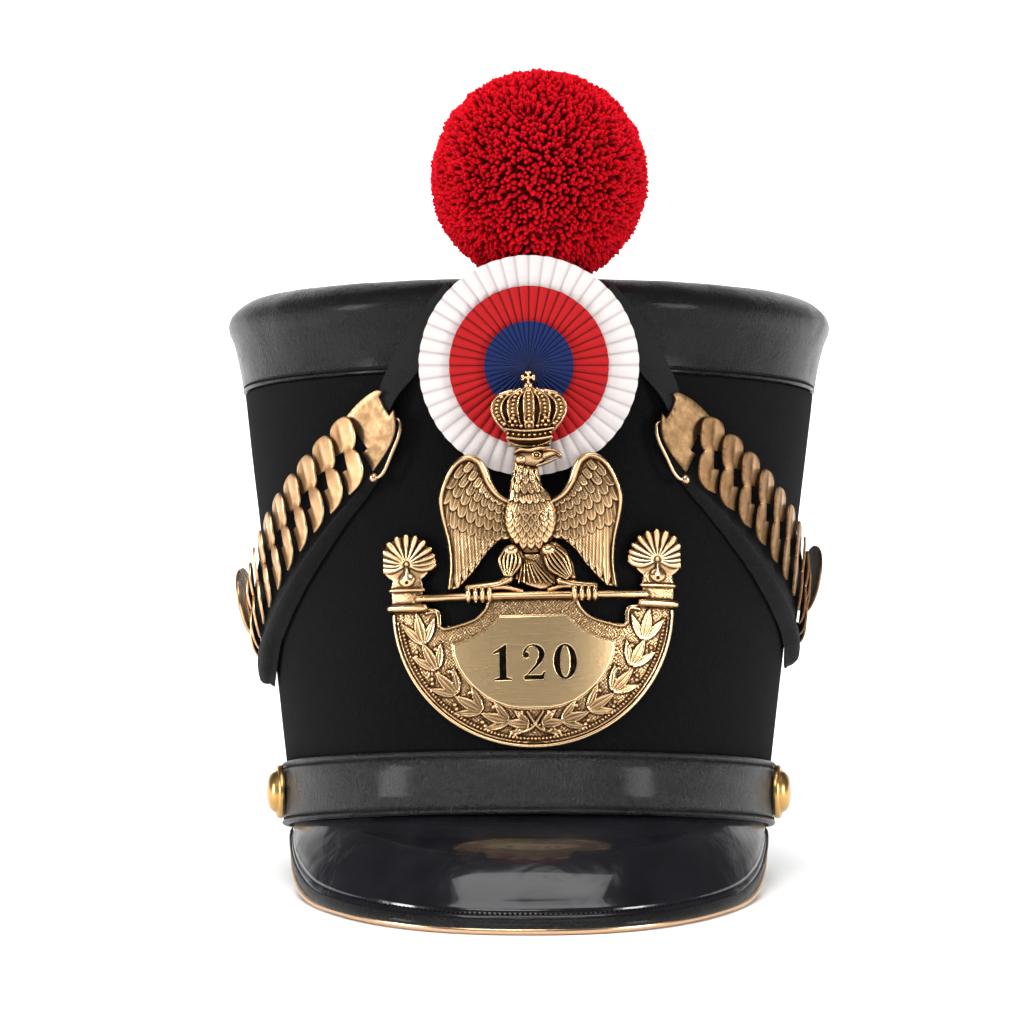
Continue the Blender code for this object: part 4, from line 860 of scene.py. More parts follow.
rim_profile = rounded(RIM_OUTSIDE, 2) + RIM_INSIDE
rim_sections = []
for index in range(PEAK_STEPS + 1):
    before, after = beside_it(LIP, index)
    along = (after - before).normalized()
    steady = min(max(index, RIM_END), PEAK_STEPS - RIM_END)
    outward = (peak_point(steady, 1.0) - peak_point(steady, 0.85)).normalized()
    sideways = Vector((LIP[index].x, LIP[index].y + 0.05, 0.0)).normalized()
    inner = ease((min(index, PEAK_STEPS - index) - RIM_END) / (2.0 * RIM_END))
    outward = square_to(sideways.lerp(outward, inner), along)
    up = along.cross(outward).normalized()
    if up.dot(Vector((0.0, -0.5, 0.8))) < 0:
        up.negate()
    middle = LIP[index] - up * PEAK_LEATHER / 2
    rim_sections.append([middle + outward * out + up * rise for out, rise in rim_profile])
peak_rim = piece_from("peak_rim_channel", swept(rim_sections), RIM_BRASS, ["peak_rim"])
polish_evenly(peak_rim, 0.85)

# %% [markdown]
# ## Turned brass
# The buttons at the ends of the base band and the round bosses at the ends of the chains were
# turned or stamped round. So each is a few points of a profile, drawn as a smooth line and spun.

# %% Buttons of the base band
TURNED_STEPS = 64
BOSS_AZIMUTH = math.radians(83)
BOSS_Z = 0.0124
BOSS_REACH = 0.0954
BOSS_PROFILE = mm([    # (radius, height): dome, step, flange
    (0, 6), (3, 5.85), (5.6, 5.2), (7.3, 4), (8, 2.7), (8.3, 2), (8.7, 1.9), (9.1, 2.2), (9.8, 2.1),
    (10.3, 1.4), (10.4, 0.6), (10.3, 0),
])


def turned(profile, matrix):
    """A solid of revolution about local Z from rows (radius, height), with a flat back."""
    rows = rounded(profile, 3) + [(0.0, profile[-1][1])]
    bm = spun_line([(max(radius, 0.0), 0.0, height) for radius, height in rows], TURNED_STEPS)
    bmesh.ops.transform(bm, matrix=matrix, verts=bm.verts)
    return bm


for side, side_name in ((-1, "left"), (1, "right")):
    azimuth = side * BOSS_AZIMUTH
    deep = BOSS_REACH + half_depth(BOSS_Z) - half_width(BOSS_Z)
    seat = Vector((BOSS_REACH * math.sin(azimuth), -deep * math.cos(azimuth), BOSS_Z))
    out = Vector((math.sin(azimuth) / BOSS_REACH, -math.cos(azimuth) / deep, 0.0)).normalized()
    button = turned(BOSS_PROFILE, frame_matrix(seat, UP.cross(out), UP, out))
    piece = piece_from("button_" + side_name, button, BRIGHT_BRASS, ["boss_" + side_name])
    polish_by_curvature(piece, 0.0006)

# %% [markdown]
# ## The scale chains
# A chain is a row of brass scales over a padded strap. Both hang from a point high on the front and
# fall round the side of the hat. Everything on a chain asks one function for a place: so far along
# the chain, so far up across it, so far off the felt. Each chain has its own slope, because the two
# don't hang alike.

# %% Places along a chain
CHAIN_START_Z = 0.1376
CHAIN_START_ARC = 0.0710
CHAIN_EASE_ARC = 0.1200
CHAIN_RADIUS = 0.110        # an arc along the wall over this is an azimuth
CHAIN_STEP = 0.0005
CHAIN_MEAN_COSINE = 0.86    # of the slope: arc for each unit of run
SETTLE_FROM, SETTLE_OVER = -0.070, 0.045    # where a chain starts to settle, and over what run
SCALE_COUNT = 11
SCALE_PITCH = 0.0119
SCALE_LIFT = 0.0070
SCALE_TILT = math.radians(12)
CHAINS = {
    "left": {"side": -1, "slope": 0.667, "ease": 3.8, "skew": 21.0, "settle": 0.0008, "rosette": 0.0078,
             "strap_end": 1.0},
    "right": {"side": 1, "slope": 0.580, "ease": 2.6, "skew": 30.0, "settle": 0.0018, "rosette": 0.0122,
              "strap_end": 0.5},
}


def chain_height(arc, chain):
    past = max(arc - CHAIN_EASE_ARC, 0.0)
    return CHAIN_START_Z - chain["slope"] * (arc - CHAIN_START_ARC) + chain["ease"] * past * past


def chain_place(run, chain):
    """Arc, height and slope at a run along the chain; positive runs lead on to the front end."""
    arc, travelled = CHAIN_START_ARC, 0.0
    step = math.copysign(CHAIN_STEP, run)
    while travelled < abs(run):
        ahead = arc - step
        travelled += math.hypot(step, chain_height(ahead, chain) - chain_height(arc, chain))
        arc = ahead
    arc += (travelled - abs(run)) * math.copysign(CHAIN_MEAN_COSINE, run)
    fall = (chain_height(arc - 0.001, chain) - chain_height(arc + 0.001, chain)) / 0.002
    return arc, chain_height(arc, chain), math.atan(fall)


def chain_spot(run, across, lift, chain):
    arc, z, slope = chain_place(run, chain)
    arc += across * math.sin(slope)
    z += across * math.cos(slope)
    spot = wall_point(arc / CHAIN_RADIUS, z) + wall_normal(arc / CHAIN_RADIUS, z) * lift
    return Vector((chain["side"] * spot.x, spot.y, spot.z))


def chain_settle(run, chain):
    return chain["settle"] * min(max((SETTLE_FROM - run) / SETTLE_OVER, 0.0), 1.0)


def chain_matrix(run, chain, tilt, skew, lift, shift=0.0):
    """Local X runs to the front end, Y up across the chain, Z out of the wall."""
    seat = chain_spot(run, shift, 0.0, chain)
    along = chain_spot(run + 0.001, shift, 0.0, chain) - chain_spot(run - 0.001, shift, 0.0, chain)
    out = (chain_spot(run, shift, 0.01, chain) - seat).normalized()
    along.normalize()
    across = out.cross(along)
    if across.z < 0:
        across.negate()
    turned_along = along * math.cos(skew) - across * math.sin(skew)
    turned_across = across * math.cos(skew) + along * math.sin(skew)
    raised = turned_along * math.cos(tilt) + out * math.sin(tilt)
    facing = out * math.cos(tilt) - turned_along * math.sin(tilt)
    seat = seat + out * (lift - chain_settle(run, chain))
    return frame_matrix(seat, raised, turned_across, facing)

# %% [markdown]
# ### Scales
# Each scale has two round lobes with a waist between them, a tail and a slotted rear edge that the
# next scale hides. It was stamped from sheet and its edge was filed, which left a thin bright bevel.
# So: an outline, a face, its thickness, a bevel on the upper edge, and a few cuts that let the face
# take its slight crown.

# %% Scales
SCALE_THICK = 0.0008
SCALE_BEVEL = 0.00036
SCALE_CROWN = 0.0002
SCALE_HALF_WIDTH = 0.0125
LOBE_MIDDLES = (0.0068, -0.0072)
LOBE_RADIUS = 0.0065
LOBE_RISE = 0.00035
LOBE_FROM_X = -0.002        # the lobes rise only in front of this
CUT_PITCH, CUT_REACH, CUT_SHIFT = 0.0024, 0.017, 0.0003     # of the cuts that let a sheet bend
NEAR_POINTS = 4e-5          # nearer than this, two points of an outline are one
SCALE_OUTLINE = mm([    # (towards the front, up across); sharp corners are given twice
    (3.6, 0), (6, 2.4), (7, 6.8), (5.8, 10.8), (2.6, 13.2), (-4, 12.2), (-7.2, 9), (-7.2, 0.4),
    (-7.2, 0.4), (-1.7, 0.4), (-1.7, 0.4), (-1.7, -6.2), (-1.7, -6.2), (-5.6, -6.4), (-5.6, -6.4),
    (-5.2, -15.6), (-5.2, -15.6), (1.2, -14), (5.4, -11), (6.9, -7), (6, -2.4), (3.6, 0),
])


def smooth_outline(points, pieces=4):
    """A closed smooth outline; where a point is given twice it stays a corner."""
    runs, run = [], [points[0]]
    for point in points[1:]:
        if point == run[-1]:
            runs.append(run)
            run = [point]
        else:
            run.append(point)
    runs.append(run)
    line = []
    for run in runs:
        line += rounded(run, pieces) if len(run) > 2 else in_steps(*run, 0.0012)
    ring = []
    for spot in line:
        if not ring or (spot - ring[-1]).length > NEAR_POINTS:
            ring.append(spot)
    if (ring[0] - ring[-1]).length < NEAR_POINTS:
        ring.pop()
    return ring


def cut_across(bm, axis):
    """Cuts a sheet into strips across one axis, so that it can be bent."""
    normal = Vector((0.0, 0.0, 0.0))
    normal[axis] = 1.0
    count = round(CUT_REACH / CUT_PITCH)
    for step in range(-count, count + 1):
        bmesh.ops.bisect_plane(bm, geom=bm.verts[:] + bm.edges[:] + bm.faces[:], dist=SAME_PLACE,
                               plane_co=normal * (step * CUT_PITCH + CUT_SHIFT), plane_no=normal)


def stamped_plate(outline):
    """A sheet cut to an outline, with a bevelled upper edge."""
    bm = bmesh.new()
    face = bm.faces.new([bm.verts.new((x, y, 0.0)) for x, y in outline])
    grown = bmesh.ops.extrude_face_region(bm, geom=[face])
    raised = [item for item in grown["geom"] if isinstance(item, bmesh.types.BMVert)]
    bmesh.ops.translate(bm, verts=raised, vec=(0.0, 0.0, SCALE_THICK))
    bmesh.ops.recalc_face_normals(bm, faces=bm.faces)
    edges = [edge for edge in bm.edges if all(vert.co.z > SCALE_THICK / 2 for vert in edge.verts)]
    bmesh.ops.bevel(bm, geom=edges, offset=SCALE_BEVEL, offset_type="OFFSET", segments=2, profile=0.5,
                    affect="EDGES", material=-1, clamp_overlap=True)
    cut_across(bm, 0)
    cut_across(bm, 1)
    return bm


def crowned(bm, crown):
    for vert in bm.verts:
        vert.co.z -= crown * (vert.co.y / SCALE_HALF_WIDTH) ** 2


def stamped_piece(name, bm, matrix, finish):
    bmesh.ops.transform(bm, matrix=matrix, verts=bm.verts)
    piece = piece_from(name + "_stamped", bm, finish, [name], sharp=60.0)
    polish_by_curvature(piece, 0.00012, 3)


for side_name, chain in CHAINS.items():
    for number in range(SCALE_COUNT):
        scale = stamped_plate(smooth_outline(SCALE_OUTLINE))
        crowned(scale, SCALE_CROWN)
        for vert in scale.verts:
            if vert.co.x > LOBE_FROM_X:
                lobe = min(abs(vert.co.y - middle) for middle in LOBE_MIDDLES) / LOBE_RADIUS
                vert.co.z += LOBE_RISE * (1.0 - min(lobe, 1.0) ** 2)
        matrix = chain_matrix(-SCALE_PITCH * number, chain, SCALE_TILT, math.radians(chain["skew"]),
                              SCALE_LIFT)
        stamped_piece(f"scale_{side_name}_{number + 1:02d}", scale, matrix, SCALE_BRASS)

# %% [markdown]
# ### Tip plates and hooks
# The front end of a chain is a fishtail plate. Behind its lower edge runs a bent wire that ends in a
# small ball over the first scale.

# %% Tip plates
TIP_RUN = 0.0130
TIP_LIFT = 0.0053
TIP_TILT = math.radians(4.0)
TIP_CROWN = 0.0004
TIP_OUTLINE = mm([
    (3.5, -11.8), (13, -9.8), (19.7, -7.1), (22.8, -4.3), (24.5, -2), (25.8, 0.4), (25.8, 0.4),
    (22.9, -0.2), (22.9, -0.2), (22.8, 4), (23.5, 8.3), (23.5, 8.3), (25.7, 9.2), (25.7, 9.2),
    (23.5, 11.3), (16, 12.5), (8.6, 12.1), (4, 11.2), (4, 11.2), (4, 3.6), (4, 3.6), (6.8, 3.6),
    (6.8, 3.6), (6.8, -3.6), (6.8, -3.6), (4, -3.6), (4, -3.6), (3.5, -11.8),
])

for side_name, chain in CHAINS.items():
    tip = stamped_plate(smooth_outline([(x - TIP_RUN, y) for x, y in TIP_OUTLINE]))
    crowned(tip, TIP_CROWN)
    matrix = chain_matrix(TIP_RUN, chain, TIP_TILT, 0.0, TIP_LIFT)
    stamped_piece("tip_plate_" + side_name, tip, matrix, SHADED_TIP_BRASS)

# %% [markdown]
# A hook is a round wire along a few points, with a ball at its end. The boss over the rear end of a
# chain is round, so it is turned like the buttons.

# %% Hooks and rosettes
HOOK_ROUTE = mm([    # (towards the front, up across, above the felt)
    (19, 0, 4.8), (23.5, -2.2, 4.8), (23.2, -4.8, 4.9), (20, -8, 5.1), (14, -11.5, 5.4),
    (8.5, -14.6, 5.7), (5.2, -15.4, 6), (3, -14.3, 6.2),
])
HOOK_WIRE = 0.0007
HOOK_BALL = 0.0018
ROSETTE_RUN = -0.1190
ROSETTE_LIFT = 0.0086
ROSETTE_PROFILE = mm([
    (0, 2.5), (1.2, 2.5), (2.6, 2.2), (3.7, 1.4), (5, 1.1), (6.5, 1.6), (8.5, 2.1), (10.5, 1.9),
    (12, 1.3), (12.8, 1.3), (13.2, 0.8), (13.2, 0),
])


def tube(points, radius, sides=12):
    """A round wire along points."""
    sections = []
    for index, spot in enumerate(points):
        before, after = beside_it(points, index)
        along = (after - before).normalized()
        out = Vector((spot.x, spot.y, 0.0)).normalized()
        beside = along.cross(out).normalized()
        out = beside.cross(along)
        turns = [2.0 * math.pi * corner / sides for corner in range(sides)]
        sections.append([spot + (beside * math.cos(turn) + out * math.sin(turn)) * radius
                         for turn in turns])
    return swept(sections)


for side_name, chain in CHAINS.items():
    route = rounded([chain_spot(run, across, lift, chain) for run, across, lift in HOOK_ROUTE], 6)
    hook = tube(route, HOOK_WIRE)
    bmesh.ops.create_uvsphere(hook, u_segments=20, v_segments=12, radius=HOOK_BALL,
                              matrix=Matrix.Translation(route[-1]))
    piece = piece_from("hook_wire_" + side_name, hook, RIM_BRASS, ["hook_" + side_name])
    polish_evenly(piece, 0.6)
    matrix = chain_matrix(ROSETTE_RUN, chain, SCALE_TILT, 0.0, ROSETTE_LIFT, chain["rosette"])
    piece = piece_from("chain_end_" + side_name, turned(ROSETTE_PROFILE, matrix), ANTIQUE_BRASS,
                       ["rosette_" + side_name])
    polish_by_curvature(piece, 0.0004)

# %% [markdown]
# ### Straps
# The scales are sewn to a padded strap of soft black cloth, and its lower edge is a thick roll that
# shows below them. The strap is one section of eight points, rounded, that is carried along the
# chain while its edges follow a table.

# %% Padded straps
STRAP_EDGES = mm([    # (towards the front, upper edge, lower edge, height of the roll)
    (-132, 1, -10, 3.9), (-129, 6, -19, 4.6), (-122, 9, -25, 6.6), (-114, 9.5, -28, 7.6),
    (-106, 9.5, -27.2, 7.6), (-98, 9.5, -24.5, 7.4), (-90, 9.5, -22.2, 7), (-66, 9.5, -20.6, 6.6),
    (-36, 9.5, -18.8, 6.2), (-6, 9.2, -15.5, 4.4), (7, 9, -12.8, 3.9), (14, 8.5, -10, 3.9),
    (20.5, 5.5, -5.5, 3.9),
])
STRAP_UNDER = 0.0010
STRAP_OVER = 0.0039
STRAP_PLUMPER = 0.0015  # the strap is thicker behind, under the last scales
PLUMP_FROM, PLUMP_OVER = -0.045, 0.03
STRAP_DEPTH = -0.0206
STRAP_SPANS = 60


def strap_section(run, chain):
    upper, lower, roll = read_table(STRAP_EDGES, run)
    roll -= chain_settle(run, chain)
    if lower < STRAP_DEPTH:
        lower = STRAP_DEPTH + (lower - STRAP_DEPTH) * chain["strap_end"]
    plumper = STRAP_PLUMPER * min(max((PLUMP_FROM - run) / PLUMP_OVER, 0.0), 1.0)
    over = STRAP_OVER + plumper - chain_settle(run, chain)
    spots = [
        (upper, 0.0020, 0.0), (upper - 0.0015, over, 0.0), (max(lower + 0.0034, -0.0152), over, 0.0),
        (max(lower + 0.0028, -0.0172), roll, 0.0), (lower + 0.0018, roll, 0.0), (lower, roll * 0.5, 0.0),
        (lower + 0.0015, STRAP_UNDER, 0.0), (upper - 0.0015, STRAP_UNDER, 0.0),
    ]
    ring = rounded(spots, 3, closed=True)
    return [chain_spot(run, spot.x, max(spot.y, STRAP_UNDER * 0.8), chain) for spot in ring]


for side_name, chain in CHAINS.items():
    first, last = STRAP_EDGES[0][0], STRAP_EDGES[-1][0]
    strap = swept([strap_section(first + (last - first) * index / STRAP_SPANS, chain)
                   for index in range(STRAP_SPANS + 1)])
    ruffle(strap, 0.006, 0.0002, 2.0)
    name = "strap_" + side_name
    piece = piece_from("padded_" + name, strap, STRAP_CLOTH, [name])

# %% [markdown]
# ## Ribbons
# Two black tapes come out from behind the cockade and run down to the notch of a tip plate. Each one
# lies on the top band, and narrows to a point where it is drawn together. A ribbed ribbon has fine
# cords across its length, so it gets its own map: one unit per rib.

# %% Ribbon tapes
RIBBON_ROUTE = mm([    # (distance from the axis plane, z, width, above what it lies on)
    (26.5, 194.5, 13, 0.7), (33, 187, 13, 0.7), (39, 180, 12.5, 0.7), (44, 172.5, 11.5, 0.7),
    (47.5, 166.5, 10, 1), (50, 161, 8, 3), (51.5, 156, 6, 4.2), (52, 152, 4, 4.6),
])
RIBBON_THICK = 0.0010
RIBBON_RIB = 0.0009
RIBBON_HANDS = [-0.5, -0.3, -0.1, 0.1, 0.3, 0.5]
BAND_FRONT = mm([(166.5, 110.1), (181.6, 112.9), (188.5, 115.4), (192.5, 116), (210, 116)])


def ribbon_spot(x, z, lift):
    reach = half_width(z) if z < 0.1665 else read_table(BAND_FRONT, z)[0]
    deep = reach + half_depth(z) - half_width(z)
    share = x / reach
    out = Vector((share / reach, -math.sqrt(1.0 - share * share) / deep, 0.0)).normalized()
    return Vector((x, -deep * math.sqrt(1.0 - share * share), z)) + out * lift


for side, side_name in ((-1, "left"), (1, "right")):
    route = rounded(RIBBON_ROUTE, 5)
    ribbon_sections = []
    for index, (place, z, width, lift) in enumerate(route):
        before, after = beside_it(route, index)
        along = Vector((after[0] - before[0], after[1] - before[1])).normalized()
        under, over = [], []
        for hand in RIBBON_HANDS:
            x, spot_z = side * (place - along.y * width * hand), z + along.x * width * hand
            sag = 0.0002 * (1.0 - (2.0 * hand) ** 2)
            under.append(ribbon_spot(x, spot_z, lift + sag))
            over.append(ribbon_spot(x, spot_z, lift + RIBBON_THICK * 0.8 + sag))
        ribbon_sections.append(under + over[::-1])
    tape = swept(ribbon_sections)
    chart = tape.loops.layers.uv.new("along")
    for face in tape.faces:
        for loop in face.loops:
            spot = loop.vert.co
            loop[chart].uv = (spot.x / RIBBON_RIB, (spot.z - side * spot.x * 0.6) / RIBBON_RIB / 10.0)
    piece = piece_from("ribbon_tape_" + side_name, tape, RIBBON, ["ribbon_" + side_name])

# %% [markdown]
# ## Cockade
# A cockade is ribbon gathered into three wheels, white under red under blue. The ribbon is pressed
# into knife pleats: each one rises slowly and drops sharply into the next, and no two are quite
# alike. Red and blue were pleated together, so their folds run on into each other. A grid of rings
# and spokes is lifted by one pleat function, which grows towards the edge and gathers at the middle.
# Each wheel keeps a flat back, so it is a closed thin body. Where the cloth dips between two pleats, the
# attribute called fold is near 0, and shade is painted into the cotton's colour there.

# %% Pleated wheels
COCKADE_Z = 0.1679
COCKADE_LEAN = math.radians(7.0)
COCKADE_BACK_Y = -0.1197
ROLL_WIDEST_Z = 0.1915
PLEATS = 48
PLEAT_STEPS = 12        # spokes for each pleat
WHEEL_RINGS = (0.0, 0.06, 0.15, 0.28, 0.42, 0.56, 0.70, 0.82, 0.91, 0.97, 1.0)
WHEELS = [              # name, radius, back, thickness, pleat depth, inner radius, seed, finish
    ("white", 0.0414, 0.0, 0.0018, 0.0007, 0.024, 3.0, WHITE_COTTON),
    ("red", 0.0300, 0.0021, 0.0015, 0.0009, 0.010, 1.0, RED_COTTON),
    ("blue", 0.0168, 0.0039, 0.0014, 0.0008, 0.0006, 1.0, BLUE_COTTON),
]


def cockade_matrix(stand_off):
    """Local Z is out of the cockade, local Y is up in its plane."""
    out = Vector((0.0, -math.cos(COCKADE_LEAN), -math.sin(COCKADE_LEAN)))
    up = Vector((0.0, -math.sin(COCKADE_LEAN), math.cos(COCKADE_LEAN)))
    y = COCKADE_BACK_Y + math.tan(COCKADE_LEAN) * (ROLL_WIDEST_Z - COCKADE_Z)
    centre = Vector((0.0, y, COCKADE_Z)) + out * stand_off
    return frame_matrix(centre, Vector((1.0, 0.0, 0.0)), up, out)


def pleat(turn, seed):
    """Height of the cloth from 0 to 1 at a turn round the wheel, and how open the fold is."""
    turns = turn / (2.0 * math.pi) * PLEATS
    number = int(turns) % PLEATS
    within = turns - int(turns)
    shift = 0.10 * unevenness((number * 1.37, seed, 0.0), 1.0)
    peak_at = 0.62 + shift
    rise = within / peak_at if within < peak_at else (1.0 - within) / (1.0 - peak_at)
    height = 1.0 - (1.0 - rise) ** 1.8
    return height * (0.88 + 0.22 * unevenness((number * 2.11, seed, 4.0), 1.0)), rise


def build_wheel(label, radius, back, thick, depth, inner, seed, finish):
    front = [0.0] + [inner + (radius - inner) * share for share in WHEEL_RINGS]
    section = [(reach, 0.0, thick) for reach in front]
    section += [(radius * 0.999, 0.0, thick * 0.45), (radius * 0.985, 0.0, 0.0), (0.0, 0.0, 0.0)]
    wheel = spun_line(section, PLEATS * PLEAT_STEPS)
    fold_shade_layer = wheel.verts.layers.float.new("fold")
    for vert in wheel.verts:
        reach = vert.co.xy.length
        turn = math.atan2(vert.co.y, vert.co.x) % (2.0 * math.pi)
        height, rise = pleat(turn, seed)
        grown = ease((reach - inner * 0.5) / max(radius * 0.35, 1e-6))
        # Painted shade: near 0 in the valley where one pleat drops into the next, and deepest towards the
        # rim.
        vert[fold_shade_layer] = 1.0 - (1.0 - min(rise * 3.0, 1.0)) * (0.55 + 0.45 * grown)
        if reach > 1e-5 and vert.co.z > thick * 0.3:
            vert.co.z -= depth * (1.0 - height) * (0.35 + 0.65 * grown)
            flutter = unevenness((math.cos(turn) * 3.0, math.sin(turn) * 3.0, seed), 0.5)
            vert.co.z -= 0.0002 * (1.0 + flutter) * grown
            at_edge = (reach / radius) ** 6
            vert.co.xy *= 1.0 + 0.006 * (height - 0.8) * at_edge + 0.003 * flutter * at_edge
    bmesh.ops.transform(wheel, matrix=cockade_matrix(back), verts=wheel.verts)
    name = "cockade_" + label
    piece = piece_from(name + "_pleats", wheel, finish, [name], sharp=30.0)


for wheel in WHEELS:
    build_wheel(*wheel)

# %% [markdown]
# ## Pompom
# A pompom is thousands of cut yarn ends that all start at a tied middle. What shows is a dense head of
# round yarn tips, about two millimetres wide, with shade painted into the wool deep between them. So
# there is a core painted in that shade, and tips spread over it by the golden angle and then scattered a
# little by chance, as no two snips are alike. Each one is a long ball that points outward, and smooth
# noise leans neighbours the same way, which makes tufts. A few partings are listed. The wool is pressed
# flat where it lies on the rolled rim.

# %% Wool
POMPOM_CENTRE = Vector((0.0040, -0.0965, 0.2406))
POMPOM_RADIUS = 0.0425
POMPOM_SEAT = -0.0370
YARN_TIPS = 6200
YARN_LENGTH = 0.0066
YARN_WIDTH = 0.00108
SCATTER = 0.018             # as a share of the radius
# Painted shade, deep between the yarn tips and all over the core.
WOOL_SHADE_COLOUR = (0.11, 0.0010, 0.0025)
TUFTS = ((2.6, 0.5), (8.0, 0.45))       # fineness of a leaning noise, and how much it leans
LEAN_CHANCE = 0.16
TIPS_UP_TO = 0.0003         # past the radius
CLIPPED_AT = 0.0004         # past the radius
CORE_SUNK = 0.0046
WOOL_SEED = 12              # for the chance and for the leaning noise, so that each run is the same
GOLDEN_ANGLE = math.pi * (3.0 - math.sqrt(5.0))
PARTINGS = [    # (to the right, towards the front, up) on a ball of radius 1, width, depth
    (-0.14, 0.8, 0.5, 0.09, 0.0022), (-0.02, 0.84, 0.47, 0.06, 0.0018), (0.1, 0.95, 0.3, 0.05, 0.0016),
    (0.06, 0.98, -0.1, 0.07, 0.0022), (-0.2, 0.9, -0.38, 0.08, 0.0022),
    (0.16, 0.86, -0.62, 0.1, 0.0028), (-0.02, 0.8, -0.66, 0.1, 0.0022),
]


def red_wool(name, light, dark):
    wool = Recipe(name)
    fuzz = wool.grain(0.0005, 3.0, 0.8)
    cloud = wool.grain(0.006, 2.0, 0.5)
    tone = wool.blend(wool.between(fuzz, 0.25, 0.75), dark, light)
    tone = wool.blend(wool.between(cloud, 0.35, 0.65, 0.0, 0.35), tone, dark)
    # Painted shade: deep between the tips the wool takes the shade colour.
    tone = wool.blend(wool.attribute("depth"), WOOL_SHADE_COLOUR, tone)
    wool.set(Base_Color=tone, Roughness=1.0, Sheen_Weight=0.10, Sheen_Roughness=0.5,
             Sheen_Tint=(1.0, 0.16, 0.10, 1.0), Specular_IOR_Level=0.02, Subsurface_Weight=0.5,
             Subsurface_Radius=(1.0, 0.12, 0.08), Subsurface_Scale=0.003, Normal=wool.bump(fuzz, 0.0006))
    return wool.material


RED_WOOL = red_wool("red_wool", (0.84, 0.006, 0.020), (0.40, 0.002, 0.009))

chance = np.random.default_rng(WOOL_SEED)
noise.seed_set(WOOL_SEED)
yarn = []
for number in range(YARN_TIPS):
    up = 1.0 - 2.0 * (number + 0.5) / YARN_TIPS
    turn = number * GOLDEN_ANGLE
    ring = math.sqrt(1.0 - up * up)
    out = Vector((math.cos(turn) * ring, math.sin(turn) * ring, up))
    luck = Vector(chance.normal(size=3))
    out = (out + luck * SCATTER).normalized()
    lean = Vector(chance.normal(size=3)) * LEAN_CHANCE
    for fineness, amount in TUFTS:
        lean += noise.noise_vector(out * fineness) * amount
    reach = POMPOM_RADIUS - 0.0012 + 0.0009 * noise.noise(out * 7.0) + 0.00025 * chance.normal()
    reach = min(reach, POMPOM_RADIUS + TIPS_UP_TO)
    for right, forward, rise, width, sunk in PARTINGS:
        aside = out - Vector((right, -forward, rise)).normalized()
        nearness = math.exp(-(aside.length / width) ** 2)
        reach -= sunk * nearness
        lean += aside * 2.0 * nearness
    outward = (out + lean * 0.5).normalized()
    beside = outward.orthogonal().normalized()
    width = YARN_WIDTH * chance.uniform(0.75, 1.3)
    place = frame_matrix(out * (reach - YARN_LENGTH / 2), beside, outward.cross(beside), outward)
    yarn.append(place @ Matrix.Diagonal((width, width * 0.92, YARN_LENGTH / 2, 1.0)))


def how_far_out(spots, unit_size):
    """0 deep between the tips, where shade is painted, and 1 at the end of each yarn."""
    radii = np.linalg.norm(spots, axis=1).reshape(-1, unit_size)
    share = (radii - radii.max(axis=1, keepdims=True) + 0.0040) / 0.0036
    return np.clip(share, 0.0, 1.0)


pompom = scattered(squashed_ball(5, 4), yarn, how_far_out)
# The core has no depth value, so it is painted in the shade colour all over.
bmesh.ops.create_icosphere(pompom, subdivisions=4, radius=POMPOM_RADIUS - CORE_SUNK)
for vert in pompom.verts:
    vert.co *= min(1.0, (POMPOM_RADIUS + CLIPPED_AT) / max(vert.co.length, 1e-6))
    vert.co.z = max(vert.co.z, POMPOM_SEAT)
bmesh.ops.translate(pompom, verts=pompom.verts, vec=POMPOM_CENTRE)
piece_from("pompom_wool", pompom, RED_WOOL, ["pompom"], sharp=180.0)

# %% [markdown]
# The post under the pompom is hidden from the front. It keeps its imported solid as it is, and gets
# plain wood, whose rings are a noise stretched along the grain.

# %% Wood of the stem
def plain_wood():
    wood = Recipe("plain_wood")
    rings = wood.grain(0.0015, 3.0, 0.6, at=wood.stretched(1.0, 1.0, 0.1))
    wood.set(Base_Color=wood.blend(rings, (0.22, 0.12, 0.05), (0.36, 0.22, 0.11)), Roughness=0.7)
    return wood.material


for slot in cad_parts["pompom_stem"].material_slots:
    slot.material = plain_wood()

# %% [markdown]
# ## The plate
# The plate was struck from sheet brass between two dies. A die gives each place of the sheet one
# height, so a struck plate is a map of heights over a flat drawing, and it is bent to the hat
# afterwards. It is made the same way here. A Relief holds a fine grid of heights in millimetres, u
# to the viewer's right and v up from the shield's lowest point. Slabs, ridges and beads raise the
# ground; feathers and leaves are a second layer that lies on it, where each new one covers the
# last, as real feathers overlap. What stands above the blurred ground is worn bright.
# Lines of painted shade darken grooves, a pinhole, the beak's mouth and the edges of feathers and leaves,
# and a painted highlight lines the engraved figures.

# %% The die
OUTSIDE = -1.0


def off_line(u, v, start, end):
    """Distance to a straight line, and how far along it the nearest place is, from 0 to 1."""
    (u0, v0), (u1, v1) = start, end
    du, dv = u1 - u0, v1 - v0
    along = np.clip(((u - u0) * du + (v - v0) * dv) / (du * du + dv * dv + 1e-12), 0.0, 1.0)
    return np.hypot(u - u0 - along * du, v - v0 - along * dv), along


def outline_depth(u, v, outline):
    """Distance to the outline, positive inside it."""
    inside = np.zeros(u.shape, dtype=bool)
    nearest = np.full(u.shape, np.inf)
    for (u0, v0), (u1, v1) in zip(outline, outline[1:] + outline[:1]):
        nearest = np.minimum(nearest, off_line(u, v, (u0, v0), (u1, v1))[0])
        if v1 != v0:
            inside ^= ((v0 > v) != (v1 > v)) & (u < u0 + (v - v0) * (u1 - u0) / (v1 - v0))
    return np.where(inside, nearest, -nearest)


def round_over(share):
    """A quarter circle: 0 at the edge, 1 inside."""
    share = np.clip(share, 0.0, 1.0)
    return np.sqrt(1.0 - (1.0 - share) ** 2)


